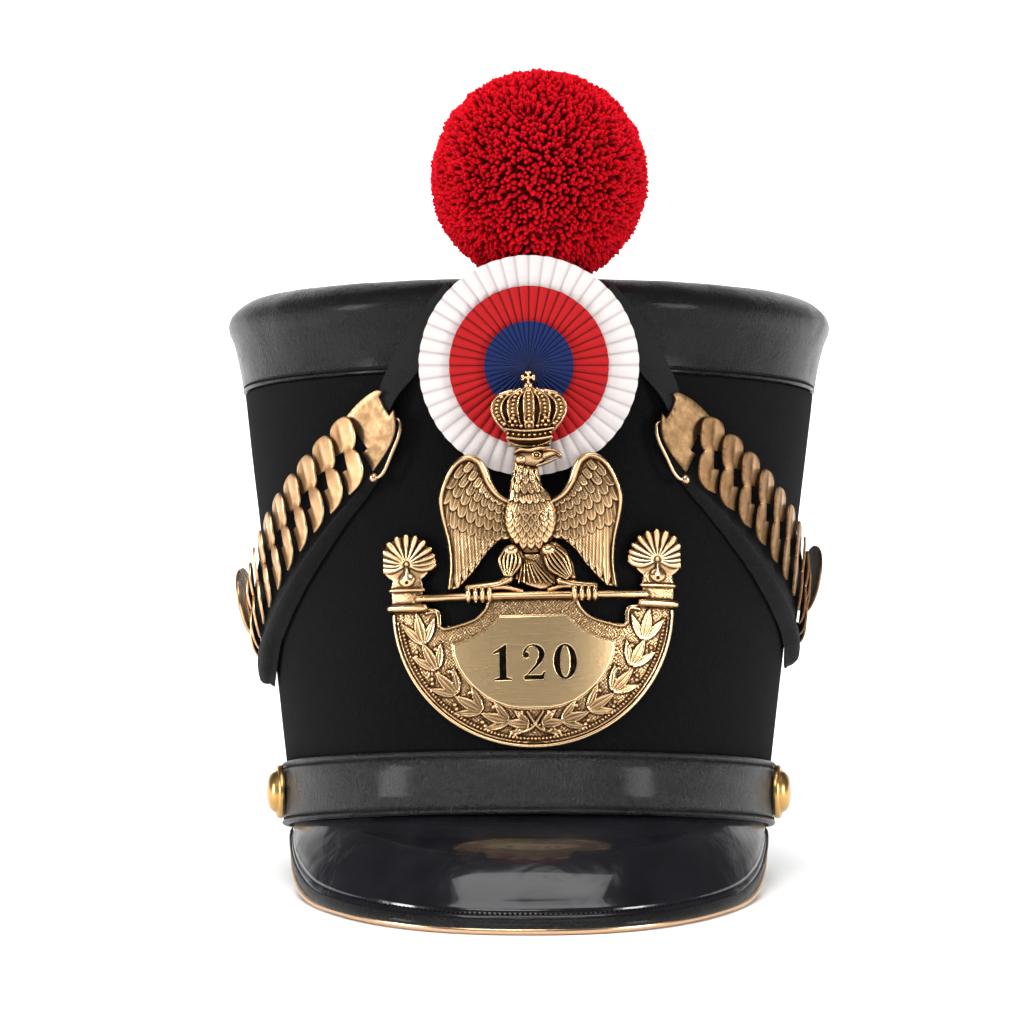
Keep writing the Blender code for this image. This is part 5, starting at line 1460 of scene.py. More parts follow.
def blurred(values, cells):
    """Box blur, twice along each axis."""
    for axis in (0, 1, 0, 1):
        first, last = values.take([0] * cells, axis), values.take([-1] * cells, axis)
        sums = np.cumsum(np.concatenate([first, values, last], axis), axis)
        sums = np.concatenate([np.zeros_like(sums.take([0], axis)), sums], axis)
        size, count = 2 * cells + 1, values.shape[axis]
        values = (sums.take(range(size, size + count), axis) - sums.take(range(count), axis)) / size
    return values

# %% [markdown]
# The tools of the die: a slab is a raised flat with a rounded edge, a bead is half a ball, a ridge
# follows a line, and a plume is a feather or a leaf, with its barbs, a rib along the middle and a
# thin rim. Stipple punches the ground with small pits.

# %% Slabs, beads, ridges and plumes
def feather_half(share):
    end = np.clip((share - 0.62) / 0.38, 0.0, 1.0)
    return (0.8 + 0.2 * np.clip(share / 0.4, 0.0, 1.0)) * np.sqrt(1.0 - end ** 2)


HALF_WIDTHS = {         # how wide a plume is, from its root at 0 to its tip at 1
    "feather": feather_half,
    "drop": lambda share: np.sin(np.pi * share ** 1.5) ** 0.8,
    "leaf": lambda share: np.sin(np.pi * share ** 0.8) ** 0.9,
}


class Relief:
    """A grid of heights: rise is the ground, skin lies on it, and a third grid adds to its polish, for
    wear and for painted shade and highlight.
    """

    def __init__(self, left, right, low, high, step):
        self.step = step
        self.columns = np.arange(left, right + step / 2, step)
        self.rows = np.arange(low, high + step / 2, step)
        self.u, self.v = np.meshgrid(self.columns, self.rows, indexing="ij")
        self.rise = np.full(self.u.shape, OUTSIDE)
        self.skin = np.zeros_like(self.rise)
        self.wear_and_painted_light = np.zeros_like(self.rise)

    def patch(self, points, margin):
        """The part of the grid round some points."""
        us, vs = [point[0] for point in points], [point[1] for point in points]
        where = (slice(*np.searchsorted(self.columns, (min(us) - margin, max(us) + margin))),
                 slice(*np.searchsorted(self.rows, (min(vs) - margin, max(vs) + margin))))
        return where, self.u[where], self.v[where]

    def lift(self, where, mask, heights):
        part, skin = self.rise[where], self.skin[where]
        higher = mask & (heights > part + skin)
        part[higher] = heights[higher]
        skin[higher] = 0.0

    def slab(self, outline, height, edge=0.5, dome=0.0):
        where, u, v = self.patch(outline, 1.0)
        depth = outline_depth(u, v, outline)
        heights = height * (0.55 + 0.45 * round_over(depth / edge)) + dome * round_over(depth / 8.0)
        self.lift(where, depth > 0.0, heights)

    def bead(self, u, v, half_u, half_v, low, high):
        where, us, vs = self.patch([(u, v)], max(half_u, half_v) + self.step)
        share = ((us - u) / half_u) ** 2 + ((vs - v) / half_v) ** 2
        self.lift(where, share < 1.0, low + (high - low) * np.sqrt(np.clip(1.0 - share, 0.0, 1.0)))

    def ridge(self, route, low, high, flat=0.0, smooth=4):
        """A rounded ridge along (u, v, half width)."""
        line = rounded(route, smooth) if smooth else route
        where, u, v = self.patch(line, 3.0)
        best = np.full(u.shape, -1.0)
        for (*start, w0), (*end, w1) in zip(line, line[1:]):
            away, along = off_line(u, v, start, end)
            best = np.maximum(best, 1.0 - away / (w0 + (w1 - w0) * along))
        self.lift(where, best > 0.0, low + (high - low) * round_over(best / (1.0 - flat)))

    def plume(self, root, tip, width, rise, shape, barbs, pitch, rim, start=0.1, twist=0):
        """A feather or leaf of the upper layer. It covers what is under it."""
        root, tip = Vector(root), Vector(tip)
        length = (tip - root).length
        along = (tip - root) / length
        where, u, v = self.patch([root, tip], width)
        s = ((u - root.x) * along.x + (v - root.y) * along.y) / length
        signed = (v - root.y) * along.x - (u - root.x) * along.y
        t = np.abs(signed)
        inside_s = np.clip(s, 0.0, 1.0)
        edge = width / 2 * HALF_WIDTHS[shape](inside_s) - t
        on_ground = self.rise[where] > 0.0
        mask = (s >= 0.0) & (s <= 1.0) & (edge > 0.0) & on_ground
        body = rise * 0.8 if shape == "leaf" else start + (rise - start) * inside_s
        body = body * (0.55 + 0.45 * round_over(edge / (width * 0.22)))
        body += rim * np.exp(-((edge - 0.22) / 0.2) ** 2)
        body += 0.16 * np.exp(-(t / 0.18) ** 2) * (inside_s < 0.93)
        slant = 0.9 * t if twist == 0 else 1.3 * twist * signed
        waves = np.sin(2.0 * np.pi * (s * length - slant) / pitch)
        body += barbs * waves * np.clip((edge - 0.3) / 0.3, 0.0, 1.0)
        self.skin[where][mask] = body[mask]
        # Painted shade: a dark line on what lies just outside the plume's edge, as cast by the plume; the
        # plume itself is cleared of it.
        wear_and_painted_light = self.wear_and_painted_light[where]
        beside = (s > 0.0) & (s < 1.0 + 0.45 / length) & (edge <= 0.0) & (edge > -0.38) & on_ground
        wear_and_painted_light[beside] = np.minimum(wear_and_painted_light[beside], -0.30)
        wear_and_painted_light[mask] = 0.0

    def stipple(self, mask, size, depth, seed):
        """Punched ground: small smooth pits and grains."""
        chances = np.random.default_rng(seed)
        aside = blurred(chances.normal(size=self.rise.shape), 3) * 2.2
        above = blurred(chances.normal(size=self.rise.shape), 3) * 2.2
        u, v = self.u + aside * size, self.v + above * size
        turn = 2.0 * np.pi / size
        grains = np.sin(turn * u) * np.sin(turn * v) + 0.35 * chances.normal(size=self.rise.shape)
        self.skin[mask] += (depth * grains)[mask]

# %% [markdown]
# The grid then becomes a sheet. What is outside the outline goes, and a rim round the rest reaches back
# to the hat. The sheet is bent, turned and set in its place, and each point of it keeps its polish, with
# the wear and the painted shade and highlight in it.

# %% From heights to a sheet
def relief_polish(relief, coarse, fine):
    """How polished each place is: more on what stands above the blurred heights."""
    whole = np.where(relief.rise > 0.0, relief.rise + relief.skin, 0.0)
    wide = blurred(whole, max(1, round(1.3 / relief.step)))
    near = blurred(whole, max(1, round(0.4 / relief.step)))
    # The third grid adds wear, painted shade and a painted highlight to the polish.
    return np.clip(0.50 + (whole - wide) / coarse + (whole - near) / fine + relief.wear_and_painted_light, 0.0, 1.0)


def struck(relief, name, finish, coarse=1.5, fine=0.24, rear=0.0):
    """The grid as a sheet with a rim round it, bent to the hat."""
    rows, columns = relief.rise.shape
    polish = relief_polish(relief, coarse, fine)
    whole = relief.rise + relief.skin
    bm = bmesh.new()
    bmesh.ops.create_grid(bm, x_segments=rows - 1, y_segments=columns - 1, size=0.5)
    layer = bm.verts.layers.float.new("polish")
    spare = []
    for vert in bm.verts:
        i, j = round((vert.co.x + 0.5) * (rows - 1)), round((vert.co.y + 0.5) * (columns - 1))
        vert.co = (relief.u[i, j], -whole[i, j], relief.v[i, j])
        vert[layer] = polish[i, j]
        if relief.rise[i, j] <= 0.0:
            spare.append(vert)
    bmesh.ops.delete(bm, geom=spare, context="VERTS")
    bmesh.ops.delete(bm, geom=[vert for vert in bm.verts if not vert.link_faces], context="VERTS")
    border = [edge for edge in bm.edges if len(edge.link_faces) == 1]
    for item in bmesh.ops.extrude_edge_only(bm, edges=border)["geom"]:
        if isinstance(item, bmesh.types.BMVert):
            item.co.y = -rear
            item[layer] = 0.1
    for vert in bm.verts:
        u, h, v = vert.co.x / 1000.0, -vert.co.y / 1000.0, vert.co.z / 1000.0
        x = PLATE_X + u * math.cos(PLATE_TURN) - v * math.sin(PLATE_TURN)
        z = PLATE_FOOT_Z + v * math.cos(PLATE_TURN) + u * math.sin(PLATE_TURN)
        vert.co = (x, plate_rear_y(x, z) - h, z)
    bmesh.ops.recalc_face_normals(bm, faces=bm.faces)
    if sum(face.normal.y for face in bm.faces) > 0:
        bmesh.ops.reverse_faces(bm, faces=bm.faces)
    piece_from(name, bm, finish, ["shako_plate"], sharp=75.0)

# %% [markdown]
# The plate's foot lies on the felt just over the base band. Higher up it is bent forward, because it
# has to pass in front of the cockade's three wheels, and it stands a little askew, as in the photo.

# %% How the plate is bent to the hat
PLATE_FOOT_Z = 0.0246
PLATE_X = 0.0026
PLATE_TURN = math.radians(1.2)
PLATE_SEAT = 0.0008
FRONT_FOOT_Z = 0.100
FRONT_HEAD_Z = 0.1235
STACK_DEPTH = mm([(125.5, 2.6), (136, 4.4), (148.5, 6.2), (170, 6.2)])


def plate_rear_y(x, z):
    """On the felt below, and bent forward in front of the cockade above."""
    on_felt = wall_front_y(x, z, PLATE_SEAT)
    before_cockade = (COCKADE_BACK_Y + math.tan(COCKADE_LEAN) * (ROLL_WIDEST_Z - z)
                      - read_table(STACK_DEPTH, z)[0])
    share = ease((z - FRONT_FOOT_Z) / (FRONT_HEAD_Z - FRONT_FOOT_Z))
    return on_felt + (before_cockade - on_felt) * share


def mirrored(half):
    return half + [(-u, v) for u, v in reversed(half)]


def on_circle(radius, degrees):
    """A point of the shield's circle; degrees from its lowest point, positive to the right."""
    turn = math.radians(degrees)
    return radius * math.sin(turn), SHIELD_RADIUS - radius * math.cos(turn)


def arc(radius, first, last, count):
    return [on_circle(radius, first + (last - first) * index / count) for index in range(count + 1)]


def evenly(count):
    """So many places from -1 to 1."""
    return [2.0 * number / (count - 1) - 1.0 for number in range(count)]

# %% [markdown]
# ### Shield, laurel and torches
# The lower half is a crescent shield. A double ridge and a row of round beads run round it, two
# laurel branches climb inside them, and the ground between is punched. Each branch is a row of
# groups: a large leaf along the branch, one outside it and one inside it, with berries between.

# %% Shield
SHIELD_RADIUS = 53.2
SHIELD_TOP = [(17, 56), (18, 53.2), (21.7, 49.5), (28, 47.3), (34.8, 46.4), (35.8, 52.8), (42, 53.8)]
PANEL = [
    (12.8, 49.7), (15.6, 46.6), (19, 44), (24.4, 41.4), (30.5, 39.6), (30, 35.2), (28.5, 31),
    (26.2, 27.2), (23.2, 23.6), (19.4, 20.2), (15, 17.5), (10.4, 15.8), (5.5, 14.9),
]
LAUREL_GROUPS = [    # degrees from the lowest point, radius, size
    (2, 44.6, 0.78), (12, 44.4, 0.92), (26, 44, 1), (41, 43.6, 1), (57, 43.2, 1), (71.5, 43.4, 1.05),
]
LAUREL_LEAVES = [    # degrees off the branch (negative is inward), length, width
    (25, 11.8, 2.9), (-40, 11.2, 2.9), (-6, 12.8, 3.8),
]
LAUREL_BERRIES = ((3.4, -1.2), (4.3, -3.0), (-3.4, -3.4), (-4.3, -4.6))     # outward, degrees off
LAUREL_STEM = [(3.0, 13.6, 0.35), (1.2, 11.0, 0.5), (-0.9, 8.0, 0.6), (-4.4, 6.2, 0.6), (-6.0, 6.9, 0.4)]
BORDER_BEADS = 105
GROOVE_SHADE_LINES = ((51.75, 0.28), (50.55, 0.30), (48.75, 0.25))     # dark lines: radius, half width

shield = Relief(-56.0, 56.0, -0.6, 87.0, 0.25)
left_top = [(-u, v) for u, v in SHIELD_TOP]
foot_arc = arc(SHIELD_RADIUS - 0.3, 84.0, -84.0, 40)
shield.slab(left_top[::-1] + SHIELD_TOP + [(52.2, 53.0)] + foot_arc + [(-52.2, 53.0)], 1.15, 0.4)
shield.stipple(shield.rise > 0.0, 1.2, 0.17, 4)

for side in (-1, 1):
    for degrees, radius, size in LAUREL_GROUPS:
        node = Vector(on_circle(radius, side * degrees))
        for swing, reach, width in LAUREL_LEAVES:
            heading = math.radians(degrees - swing)
            along = Vector((side * math.cos(heading), math.sin(heading)))
            shield.plume(node + along * 0.9, node + along * reach * size, width * size ** 0.5,
                         0.95, "leaf", 0.03, 0.8, 0.30)
        branch = arc(radius, side * (degrees - 4.0), side * degrees, 4)
        shield.ridge([(u, v, 0.45) for u, v in branch], 1.0, 1.8, 0.0, 0)
        if degrees > 5.0:
            for away, turn in LAUREL_BERRIES:
                shield.bead(*on_circle(radius + away, side * (degrees + turn)), 0.8, 0.8, 1.2, 2.3)
    shield.ridge([(side * u, v, width) for u, v, width in LAUREL_STEM], 1.2, 2.4)

# Ridge, thin ridge and beads round the shield, with a line of painted shade in each groove.
shield.ridge([(u, v, 0.75) for u, v in arc(SHIELD_RADIUS - 0.75, -88.0, 88.0, 90)], 0.5, 2.2, 0.3, 0)
shield.ridge([(u, v, 0.34) for u, v in arc(SHIELD_RADIUS - 2.1, -85.0, 85.0, 90)], 0.9, 1.75, 0.0, 0)
for u, v in arc(SHIELD_RADIUS - 3.55, -84.0, 84.0, BORDER_BEADS - 1):
    shield.bead(u, v, 0.62, 0.62, 0.9, 2.5)
radii = np.hypot(shield.u, shield.v - SHIELD_RADIUS)
# Painted shade: a dark line in each groove, at the foot of a ridge and inside the beads.
for groove, half in GROOVE_SHADE_LINES:
    shield.wear_and_painted_light -= 0.75 * np.exp(-((radii - groove) / half) ** 2) * (shield.v < 53.0)
for top in (SHIELD_TOP, left_top):
    shield.ridge([(u - math.copysign(0.3, u), v - 0.5, 0.55) for u, v in top], 0.8, 2.0)
shield.ridge([(u, v, 0.4) for u, v in mirrored(PANEL) + PANEL[:1]], 0.8, 1.5, 0.0, 0)

# %% [markdown]
# A rod lies across the top of the shield, and a torch stands at each of its ends. A torch is a
# punched neck between two mouldings, with a fan of thirteen ribs for its flame.

# %% Rod and torches
ROD_V = 57.4
TORCH_U = 47.2
TORCH_NECK = [(-5.6, 53.0), (5.6, 53.0), (6.2, 62.0), (4.6, 69.0), (-4.6, 69.0), (-6.2, 62.0)]
FAN_V = 70.4            # where the ribs of a torch's flame meet
FAN_RADIUS = 10.4
FAN_RIBS = 13
FAN_SPREAD = 118.0
FAN_RIB = ((1.6, 0.6), (5.0, 1.15), (8.6, 1.55), (FAN_RADIUS, 1.25))        # reach, half width

shield.ridge([(-43.0, ROD_V, 1.6), (43.0, ROD_V, 1.6)], 0.6, 3.5, 0.0, 0)
for side in (-1, 1):
    middle = side * TORCH_U
    shield.slab([(middle + u, v) for u, v in TORCH_NECK], 2.0, 0.5, 0.6)
    neck = (np.abs(shield.u - middle) < 6.0) & (shield.v > 55.6) & (shield.v < 68.0)
    shield.stipple(neck, 1.1, 0.12, 9)
    shield.ridge([(middle - 6.4, 54.3, 1.6), (middle + 6.4, 53.9, 1.6)], 0.8, 4.2, 0.1, 0)
    shield.ridge([(middle - 6.2, 60.9, 0.9), (middle + 6.2, 60.7, 0.9)], 0.8, 3.7, 0.0, 0)
    shield.bead(middle, 64.6, 3.0, 2.8, 2.0, 4.0)
    shield.ridge([(middle, 65.4, 1.7), (middle, 67.2, 1.0), (middle, 69.0, 0.4)], 1.8, 3.7)
    pinhole = np.hypot(shield.u - middle, shield.v - 63.6) < 0.7
    shield.skin[pinhole] = -0.8
    # Painted shade: the pinhole is drawn dark.
    shield.wear_and_painted_light[pinhole] = -2.0
    shield.bead(middle, FAN_V + 1.5, 9.8, 8.8, 1.6, 2.9)
    for share in evenly(FAN_RIBS):
        turn = math.radians(FAN_SPREAD * share)
        low = max(0.0, abs(turn) - 1.1)
        route = []
        for reach, width in FAN_RIB:
            bent = turn * (1.0 - 0.22 * low * (reach / FAN_RADIUS) ** 2)
            route.append((middle + reach * math.sin(bent), FAN_V + reach * math.cos(bent), width))
        shield.ridge(route, 1.0, 3.9 - 0.5 * low)
    shield.bead(middle, FAN_V + 0.6, 2.2, 2.2, 1.0, 3.4)
    horn = ((7.0, 51.8, 0.5), (11.0, 52.0, 0.6), (11.6, 46.6, 0.5))
    shield.ridge([(middle - side * inward, v, width) for inward, v, width in horn], 0.9, 2.2)
struck(shield, "plate_shield", ANTIQUE_BRASS)

# %% [markdown]
# ### Number panel
# The panel in the middle of the shield is smooth and brushed. It carries a company number, cut in
# with a flat floor that is filled with black. Each digit is built from ellipses and polygons, thick
# on its upright strokes and thin on its turns, as engraved figures are.

# %% Number panel
DIGIT_FLOOR = 0.22
DIGIT_MIDDLE_V = 32.3
DIGIT_PITCH = 11.7


def ellipse_depth(u, v, middle_u, middle_v, half_u, half_v):
    return (1.0 - np.hypot((u - middle_u) / half_u, (v - middle_v) / half_v)) * min(half_u, half_v)


def digit_one(u, v):
    upright = outline_depth(u, v, [(-1.3, -6.0), (1.3, -6.0), (1.3, 6.6), (0.7, 6.6), (-1.3, 5.2)])
    foot = outline_depth(u, v, [(-3.3, -6.6), (3.3, -6.6), (3.3, -6.1), (1.3, -5.5), (-1.3, -5.5),
                                (-3.3, -6.1)])
    flag = outline_depth(u, v, [(0.9, 6.6), (-3.9, 3.7), (-3.7, 3.2), (-1.2, 3.9), (0.9, 4.6)])
    return np.maximum(np.maximum(upright, foot), flag)


def digit_two(u, v):
    bowl = np.minimum(ellipse_depth(u, v, -0.1, 2.9, 4.1, 3.7), -ellipse_depth(u, v, -0.7, 2.8, 2.5, 3.1))
    bowl = np.where(((v > 1.6) | (u > 0.8)) & (v > -0.2), bowl, -1.0)
    ball = ellipse_depth(u, v, -2.9, 2.6, 1.1, 1.1)
    slope = outline_depth(u, v, [(3.9, 1.9), (2.9, 0.0), (-1.8, -4.6), (-3.9, -5.2), (-3.9, -6.0),
                                 (0.6, -0.8), (1.6, 1.4)])
    foot = outline_depth(u, v, [(-3.9, -6.6), (3.5, -6.6), (4.1, -3.7), (3.6, -3.7), (2.8, -4.9),
                                (-3.0, -4.9), (-3.9, -5.6)])
    return np.maximum(np.maximum(bowl, ball), np.maximum(slope, foot))


def digit_zero(u, v):
    return np.minimum(ellipse_depth(u, v, 0.0, 0.0, 4.4, 6.6), -ellipse_depth(u, v, 0.0, 0.0, 1.9, 5.9))


panel = Relief(-32.0, 32.0, 13.5, 51.0, 0.2)
panel_outline = mirrored(PANEL)
panel.slab(panel_outline, 1.9, 0.6)
panel.wear_and_painted_light += 0.22
engraved = np.full(panel.rise.shape, -9.0)
for place, digit in ((-DIGIT_PITCH, digit_one), (0.0, digit_two), (DIGIT_PITCH, digit_zero)):
    engraved = np.maximum(engraved, digit(panel.u - place, panel.v - DIGIT_MIDDLE_V))
panel.skin -= DIGIT_FLOOR * np.clip(engraved / 0.12 + 0.5, 0.0, 1.0)
panel.wear_and_painted_light -= 3.0 * np.clip(engraved / 0.15 + 0.3, 0.0, 1.0)
# Painted highlight: a bright line along the lip of each engraved figure.
panel.wear_and_painted_light += 0.45 * np.exp(-((engraved + 0.35) / 0.22) ** 2)
edge_depth = outline_depth(panel.u, panel.v, panel_outline)
panel.wear_and_painted_light += 0.5 * np.exp(-((edge_depth - 0.35) / 0.35) ** 2)
struck(panel, "plate_number_panel", PANEL_BRASS, coarse=9.0, fine=3.0, rear=0.6)

# %% [markdown]
# ### Eagle and crown
# The eagle stands on the rod with half-spread wings. Its head is turned to the viewer's right.
# Each wing is a slab with a thick smooth ridge along its arm and outer edge. The long flight
# feathers are laid first and then five rows of shorter ones, each row over the last, with the
# smallest next to the arm.

# %% Wings
WING = [
    (6, 92.5), (13, 96.5), (15.5, 102), (17, 105.8), (22.6, 110.3), (28.5, 107.5), (32.5, 101.5),
    (34.7, 94.2), (33.9, 86.8), (31.8, 78), (31, 69), (32.2, 60), (28, 60.5), (23.5, 65), (20, 69),
    (17, 73.5), (12, 78.1), (6, 78.5),
]
WING_ARM = [    # smooth ridge (u, v, half width)
    (6.5, 91.2, 0.8), (12, 94.6, 1.2), (15.4, 99.4, 1.5), (17.2, 104, 1.6), (19.2, 107.4, 1.4),
    (22.9, 109, 1.2), (27.6, 106.9, 1.1), (31.3, 101.4, 1), (33.6, 94.2, 1), (33, 87, 0.8),
    (31, 78, 0.65), (30.3, 69, 0.6), (31.3, 60.6, 0.6),
]
FLIGHT_FEATHERS = [    # root, tip, width
    (16, 84, 15.2, 75.4, 2.8), (18.6, 84, 17.8, 72.4, 3), (21.2, 85, 20.2, 69, 3.1),
    (23.8, 86, 22.6, 66.2, 3.2), (26.3, 87, 25.2, 63.2, 3.3), (28.8, 87, 28, 60.6, 3.3),
    (31, 87, 30.9, 60, 3),
]
COVERT_ROWS = [    # tips (u, v) of a row, length, width
    ([(32.2, 83.6), (29.2, 82.8), (26, 81.6), (22.8, 80.2), (19.5, 78.9), (16.2, 78), (12.9, 77.8),
    (9.8, 78.2)], 8, 3.6), ([(32.6, 92), (29.6, 89.4), (26.4, 86.9), (23, 84.8), (19.6, 83.2),
    (16.3, 82), (13, 81.3), (9.8, 81.2)], 8, 3.6), ([(31, 97.6), (28.4, 94.3), (25.4, 91.4), (22.1, 89),
    (18.8, 87.2), (15.5, 85.8), (12.4, 84.8), (9.6, 84.4)], 7, 3.5), ([(28.2, 101.4), (26.2, 98),
    (23.4, 95), (20.6, 92.6), (17.8, 90.7), (15, 89.2), (12.3, 88), (9.8, 87.4)], 5.6, 3),
    ([(24.6, 103.6), (22.8, 100.4), (20.8, 97.8), (18.7, 95.6), (16.5, 93.8), (14.3, 92.4), (12, 91.2),
    (9.8, 90.4)], 4.2, 2.6),
]

eagle = Relief(-36.0, 36.0, 53.0, 141.5, 0.2)
for side in (-1, 1):
    eagle.slab([(side * u, v) for u, v in WING], 1.5, 0.8, 0.6)
    for root_u, root_v, tip_u, tip_v, width in FLIGHT_FEATHERS:
        eagle.plume((side * root_u, root_v), (side * tip_u, tip_v), width,
                    0.75, "feather", 0.13, 1.15, 0.20, 0.5, side)
    for tips, length, width in COVERT_ROWS:
        for tip_u, tip_v in tips:
            fan_out = 0.10 + 0.75 * ease((tip_v - 80.0) / 26.0)
            back = Vector((-side * fan_out, 1.0)).normalized() * length
            tip = Vector((side * tip_u, tip_v))
            eagle.plume(tip + back, tip, width, 1.05, "feather", 0.06, 0.8, 0.26)
    eagle.ridge([(side * u, v, width) for u, v, width in WING_ARM], 1.2, 3.9)

# %% [markdown]
# The thighs are two domes with a rounded knee and six stripes each, and a fan of seven tail feathers
# hangs between them over a punched ground.

# %% Tail and legs
eagle.slab([(-4.0, 73.0), (4.0, 73.0), (9.4, 65.0), (9.0, 61.4), (6.6, 59.8), (3.0, 59.4), (-1.5, 60.8),
            (-6.6, 63.4)], 1.6, 0.8, 1.0)
tail_ground = (eagle.v < 72.5) & (eagle.v > 59.0) & (eagle.u > -1.5) & (eagle.u < 9.6)
eagle.stipple(tail_ground, 1.0, 0.10, 7)
for number in range(7):
    top_u, top_v = -3.6 + 0.75 * number, 70.8 - 0.2 * number
    eagle.ridge([(top_u, top_v, 0.35), (top_u - 0.6 + 0.5 * number, 66.4, 0.45),
                 (-5.2 + 2.1 * number, 62.0, 0.4)], 1.6, 3.3)

LEGS = [    # outline, knee, ankle
    ([(-12.6, 69.6), (-11.6, 73.6), (-8.6, 76.4), (-4.6, 75.6), (-2.8, 71.6), (-4.4, 68.4),
    (-7.2, 65.6), (-7.8, 63.2), (-10.6, 63.4), (-11, 66.2)], (-7.8, 74), (-9.2, 64.4)), ([(2.8, 73.2),
    (4.8, 76.8), (9.2, 77.2), (13, 74), (15.6, 69), (16.6, 63.2), (12.4, 62.2), (9, 65.8), (5, 69.6)],
    (6.4, 74), (14, 63.6)),
]
LEG_STRIPE = ((0.1, 1.15, 0.5), (0.45, 1.55, 0.75), (0.97, 0.55, 0.4))    # along, apart, half width
for outline, knee, ankle in LEGS:
    eagle.slab(outline, 3.4, 2.6, 1.4)
    knee, ankle = Vector(knee), Vector(ankle)
    across = (ankle - knee).normalized().orthogonal()
    for number in range(6):
        aside = across * (number - 2.5)
        eagle.ridge([(*(knee.lerp(ankle, share) + aside * apart), width)
                     for share, apart, width in LEG_STRIPE], 3.6, 5.7)
    eagle.bead(*knee, 2.9, 2.3, 3.4, 6.3)

# %% [markdown]
# The body is a dome covered by seven rows of pointed breast feathers. Over them lie two rows of
# round ruff feathers, and the long narrow ones of the neck, which leans to the viewer's left.

# %% Body
eagle.bead(-0.2, 86.0, 10.2, 13.2, 0.6, 7.2)
eagle.slab([(-8.8, 90.0), (8.2, 90.0), (4.4, 99.0), (3.2, 104.5), (-5.8, 107.5), (-7.6, 100.0)],
           2.4, 2.0, 3.4)
BREAST_HALF_WIDTHS = (3.4, 6.0, 7.6, 8.6, 9.2, 9.4, 9.2)
BREAST_FEATHERS = (3, 5, 5, 6, 7, 6, 7)
for row, (half, count) in enumerate(zip(BREAST_HALF_WIDTHS, BREAST_FEATHERS)):
    v = 75.2 + 2.0 * row
    for share in evenly(count):
        u = -0.2 + half * share * 0.92
        eagle.plume((u * 0.86, v + 6.0), (u, v - 0.9), 2.9, 0.95, "drop", 0.03, 0.9, 0.22)


def neck_middle(v):
    return -0.2 - 1.7 * ease((v - 91.0) / 9.0)


NECK_ROWS = [    # tip height, half width, feathers, length, width
    (87.2, 8.4, 8, 4.8, 2.7), (91, 7.4, 7, 5.2, 2.6), (94.6, 6.6, 6, 6.4, 2.5),
    (98.2, 5.6, 5, 6.6, 2.4), (101.4, 4.7, 5, 6.4, 2.2), (104.2, 4, 4, 5, 2),
]
for v, half, count, length, width in NECK_ROWS:
    for share in evenly(count):
        droop = 1.5 * share ** 2
        top_v, tip_v = v + length + droop, v + droop
        root = (neck_middle(top_v) + half * share * 0.72, top_v)
        eagle.plume(root, (neck_middle(tip_v) + half * share, tip_v), width,
                    1.1, "feather" if v < 92.0 else "drop", 0.05, 0.8, 0.24)

# %% [markdown]
# The head has a bead for the skull and one for the nape, a hooked beak, and a brow over the ringed eye. A
# line of painted shade shows where the beak opens.

# %% Head
eagle.bead(0.1, 108.5, 6.0, 3.9, 2.0, 6.2)
eagle.bead(-3.2, 107.7, 2.7, 1.9, 3.0, 6.5)
eagle.slab([(4.0, 111.4), (7.4, 111.9), (10.4, 111.2), (12.2, 109.6), (12.0, 107.9), (10.9, 107.9),
            (9.8, 109.0), (3.0, 106.7)], 4.4, 1.4, 0.8)
eagle.ridge([(2.6, 105.3, 0.6), (6.2, 106.5, 0.75), (9.8, 107.9, 0.5)], 1.6, 4.6)
eagle.ridge([(5.0, 110.9, 0.5), (8.2, 111.0, 0.6), (11.0, 109.9, 0.6), (11.9, 108.4, 0.4)], 3.0, 6.0)
eagle.ridge([(-5.9, 110.2, 0.6), (-3.4, 111.2, 0.8), (0.0, 110.9, 1.0), (3.2, 111.5, 1.0),
             (6.4, 111.6, 0.6)], 3.0, 7.2)
eagle.ridge([(2.5 + 1.5 * math.cos(turn), 109.1 + 1.1 * math.sin(turn), 0.38)
             for turn in np.linspace(0.0, 6.3, 13)], 4.5, 6.5, 0.0, 0)
eagle.bead(2.5, 109.1, 0.75, 0.7, 4.6, 6.6)
mouth_v = 106.4 + 0.30 * (eagle.u - 3.4)
mouth_shade_line = (eagle.u > 3.4) & (eagle.u < 10.4) & (np.abs(eagle.v - mouth_v) < 0.35)
# Painted shade along the beak's mouth.
eagle.wear_and_painted_light[mouth_shade_line] = -1.0

# %% [markdown]
# Four knuckles of each foot close over the rod in front, and one hind toe lies along it.

# %% Feet
FEET = [    # knuckle places along the rod, ankle, hind toe tip
    ([-24.2, -21.5, -18.9, -16.3], (-8.8, 63.6), (-4, 58.9)), ([15.8, 18.5, 21.1, 23.4], (10.6, 62.6),
    (6.2, 59.2)),
]
for knuckles, ankle, toe in FEET:
    inner = min(knuckles, key=abs)
    outer = max(knuckles, key=abs)
    eagle.ridge([(*ankle, 1.9), ((ankle[0] + inner) / 2, 61.8, 1.7), (inner, 61.2, 1.7),
                 (outer, 60.6, 1.4)], 1.0, 4.4)
    eagle.ridge([(inner, 60.4, 1.0), ((inner + toe[0]) / 2, 60.4, 1.0), (*toe, 0.9)], 1.0, 3.8)
    for place in knuckles:
        eagle.bead(place, 58.0, 1.36, 3.3, 2.4, 5.6)
        eagle.wear_and_painted_light[np.hypot((eagle.u - place) / 0.7, (eagle.v - 57.6) / 1.7) < 1.0] = 0.25

# %% [markdown]
# The crown has a jewelled band with a leaf border, five beaded arches over a dark cap, an orb and a
# small cross with round ends.

# %% Crown
ARCH = [(4.3, 119.5, 1.7), (5.5, 122.6, 2.0), (6.1, 126.6, 2.2), (5.1, 130.8, 2.0), (1.6, 133.5, 0.8)]

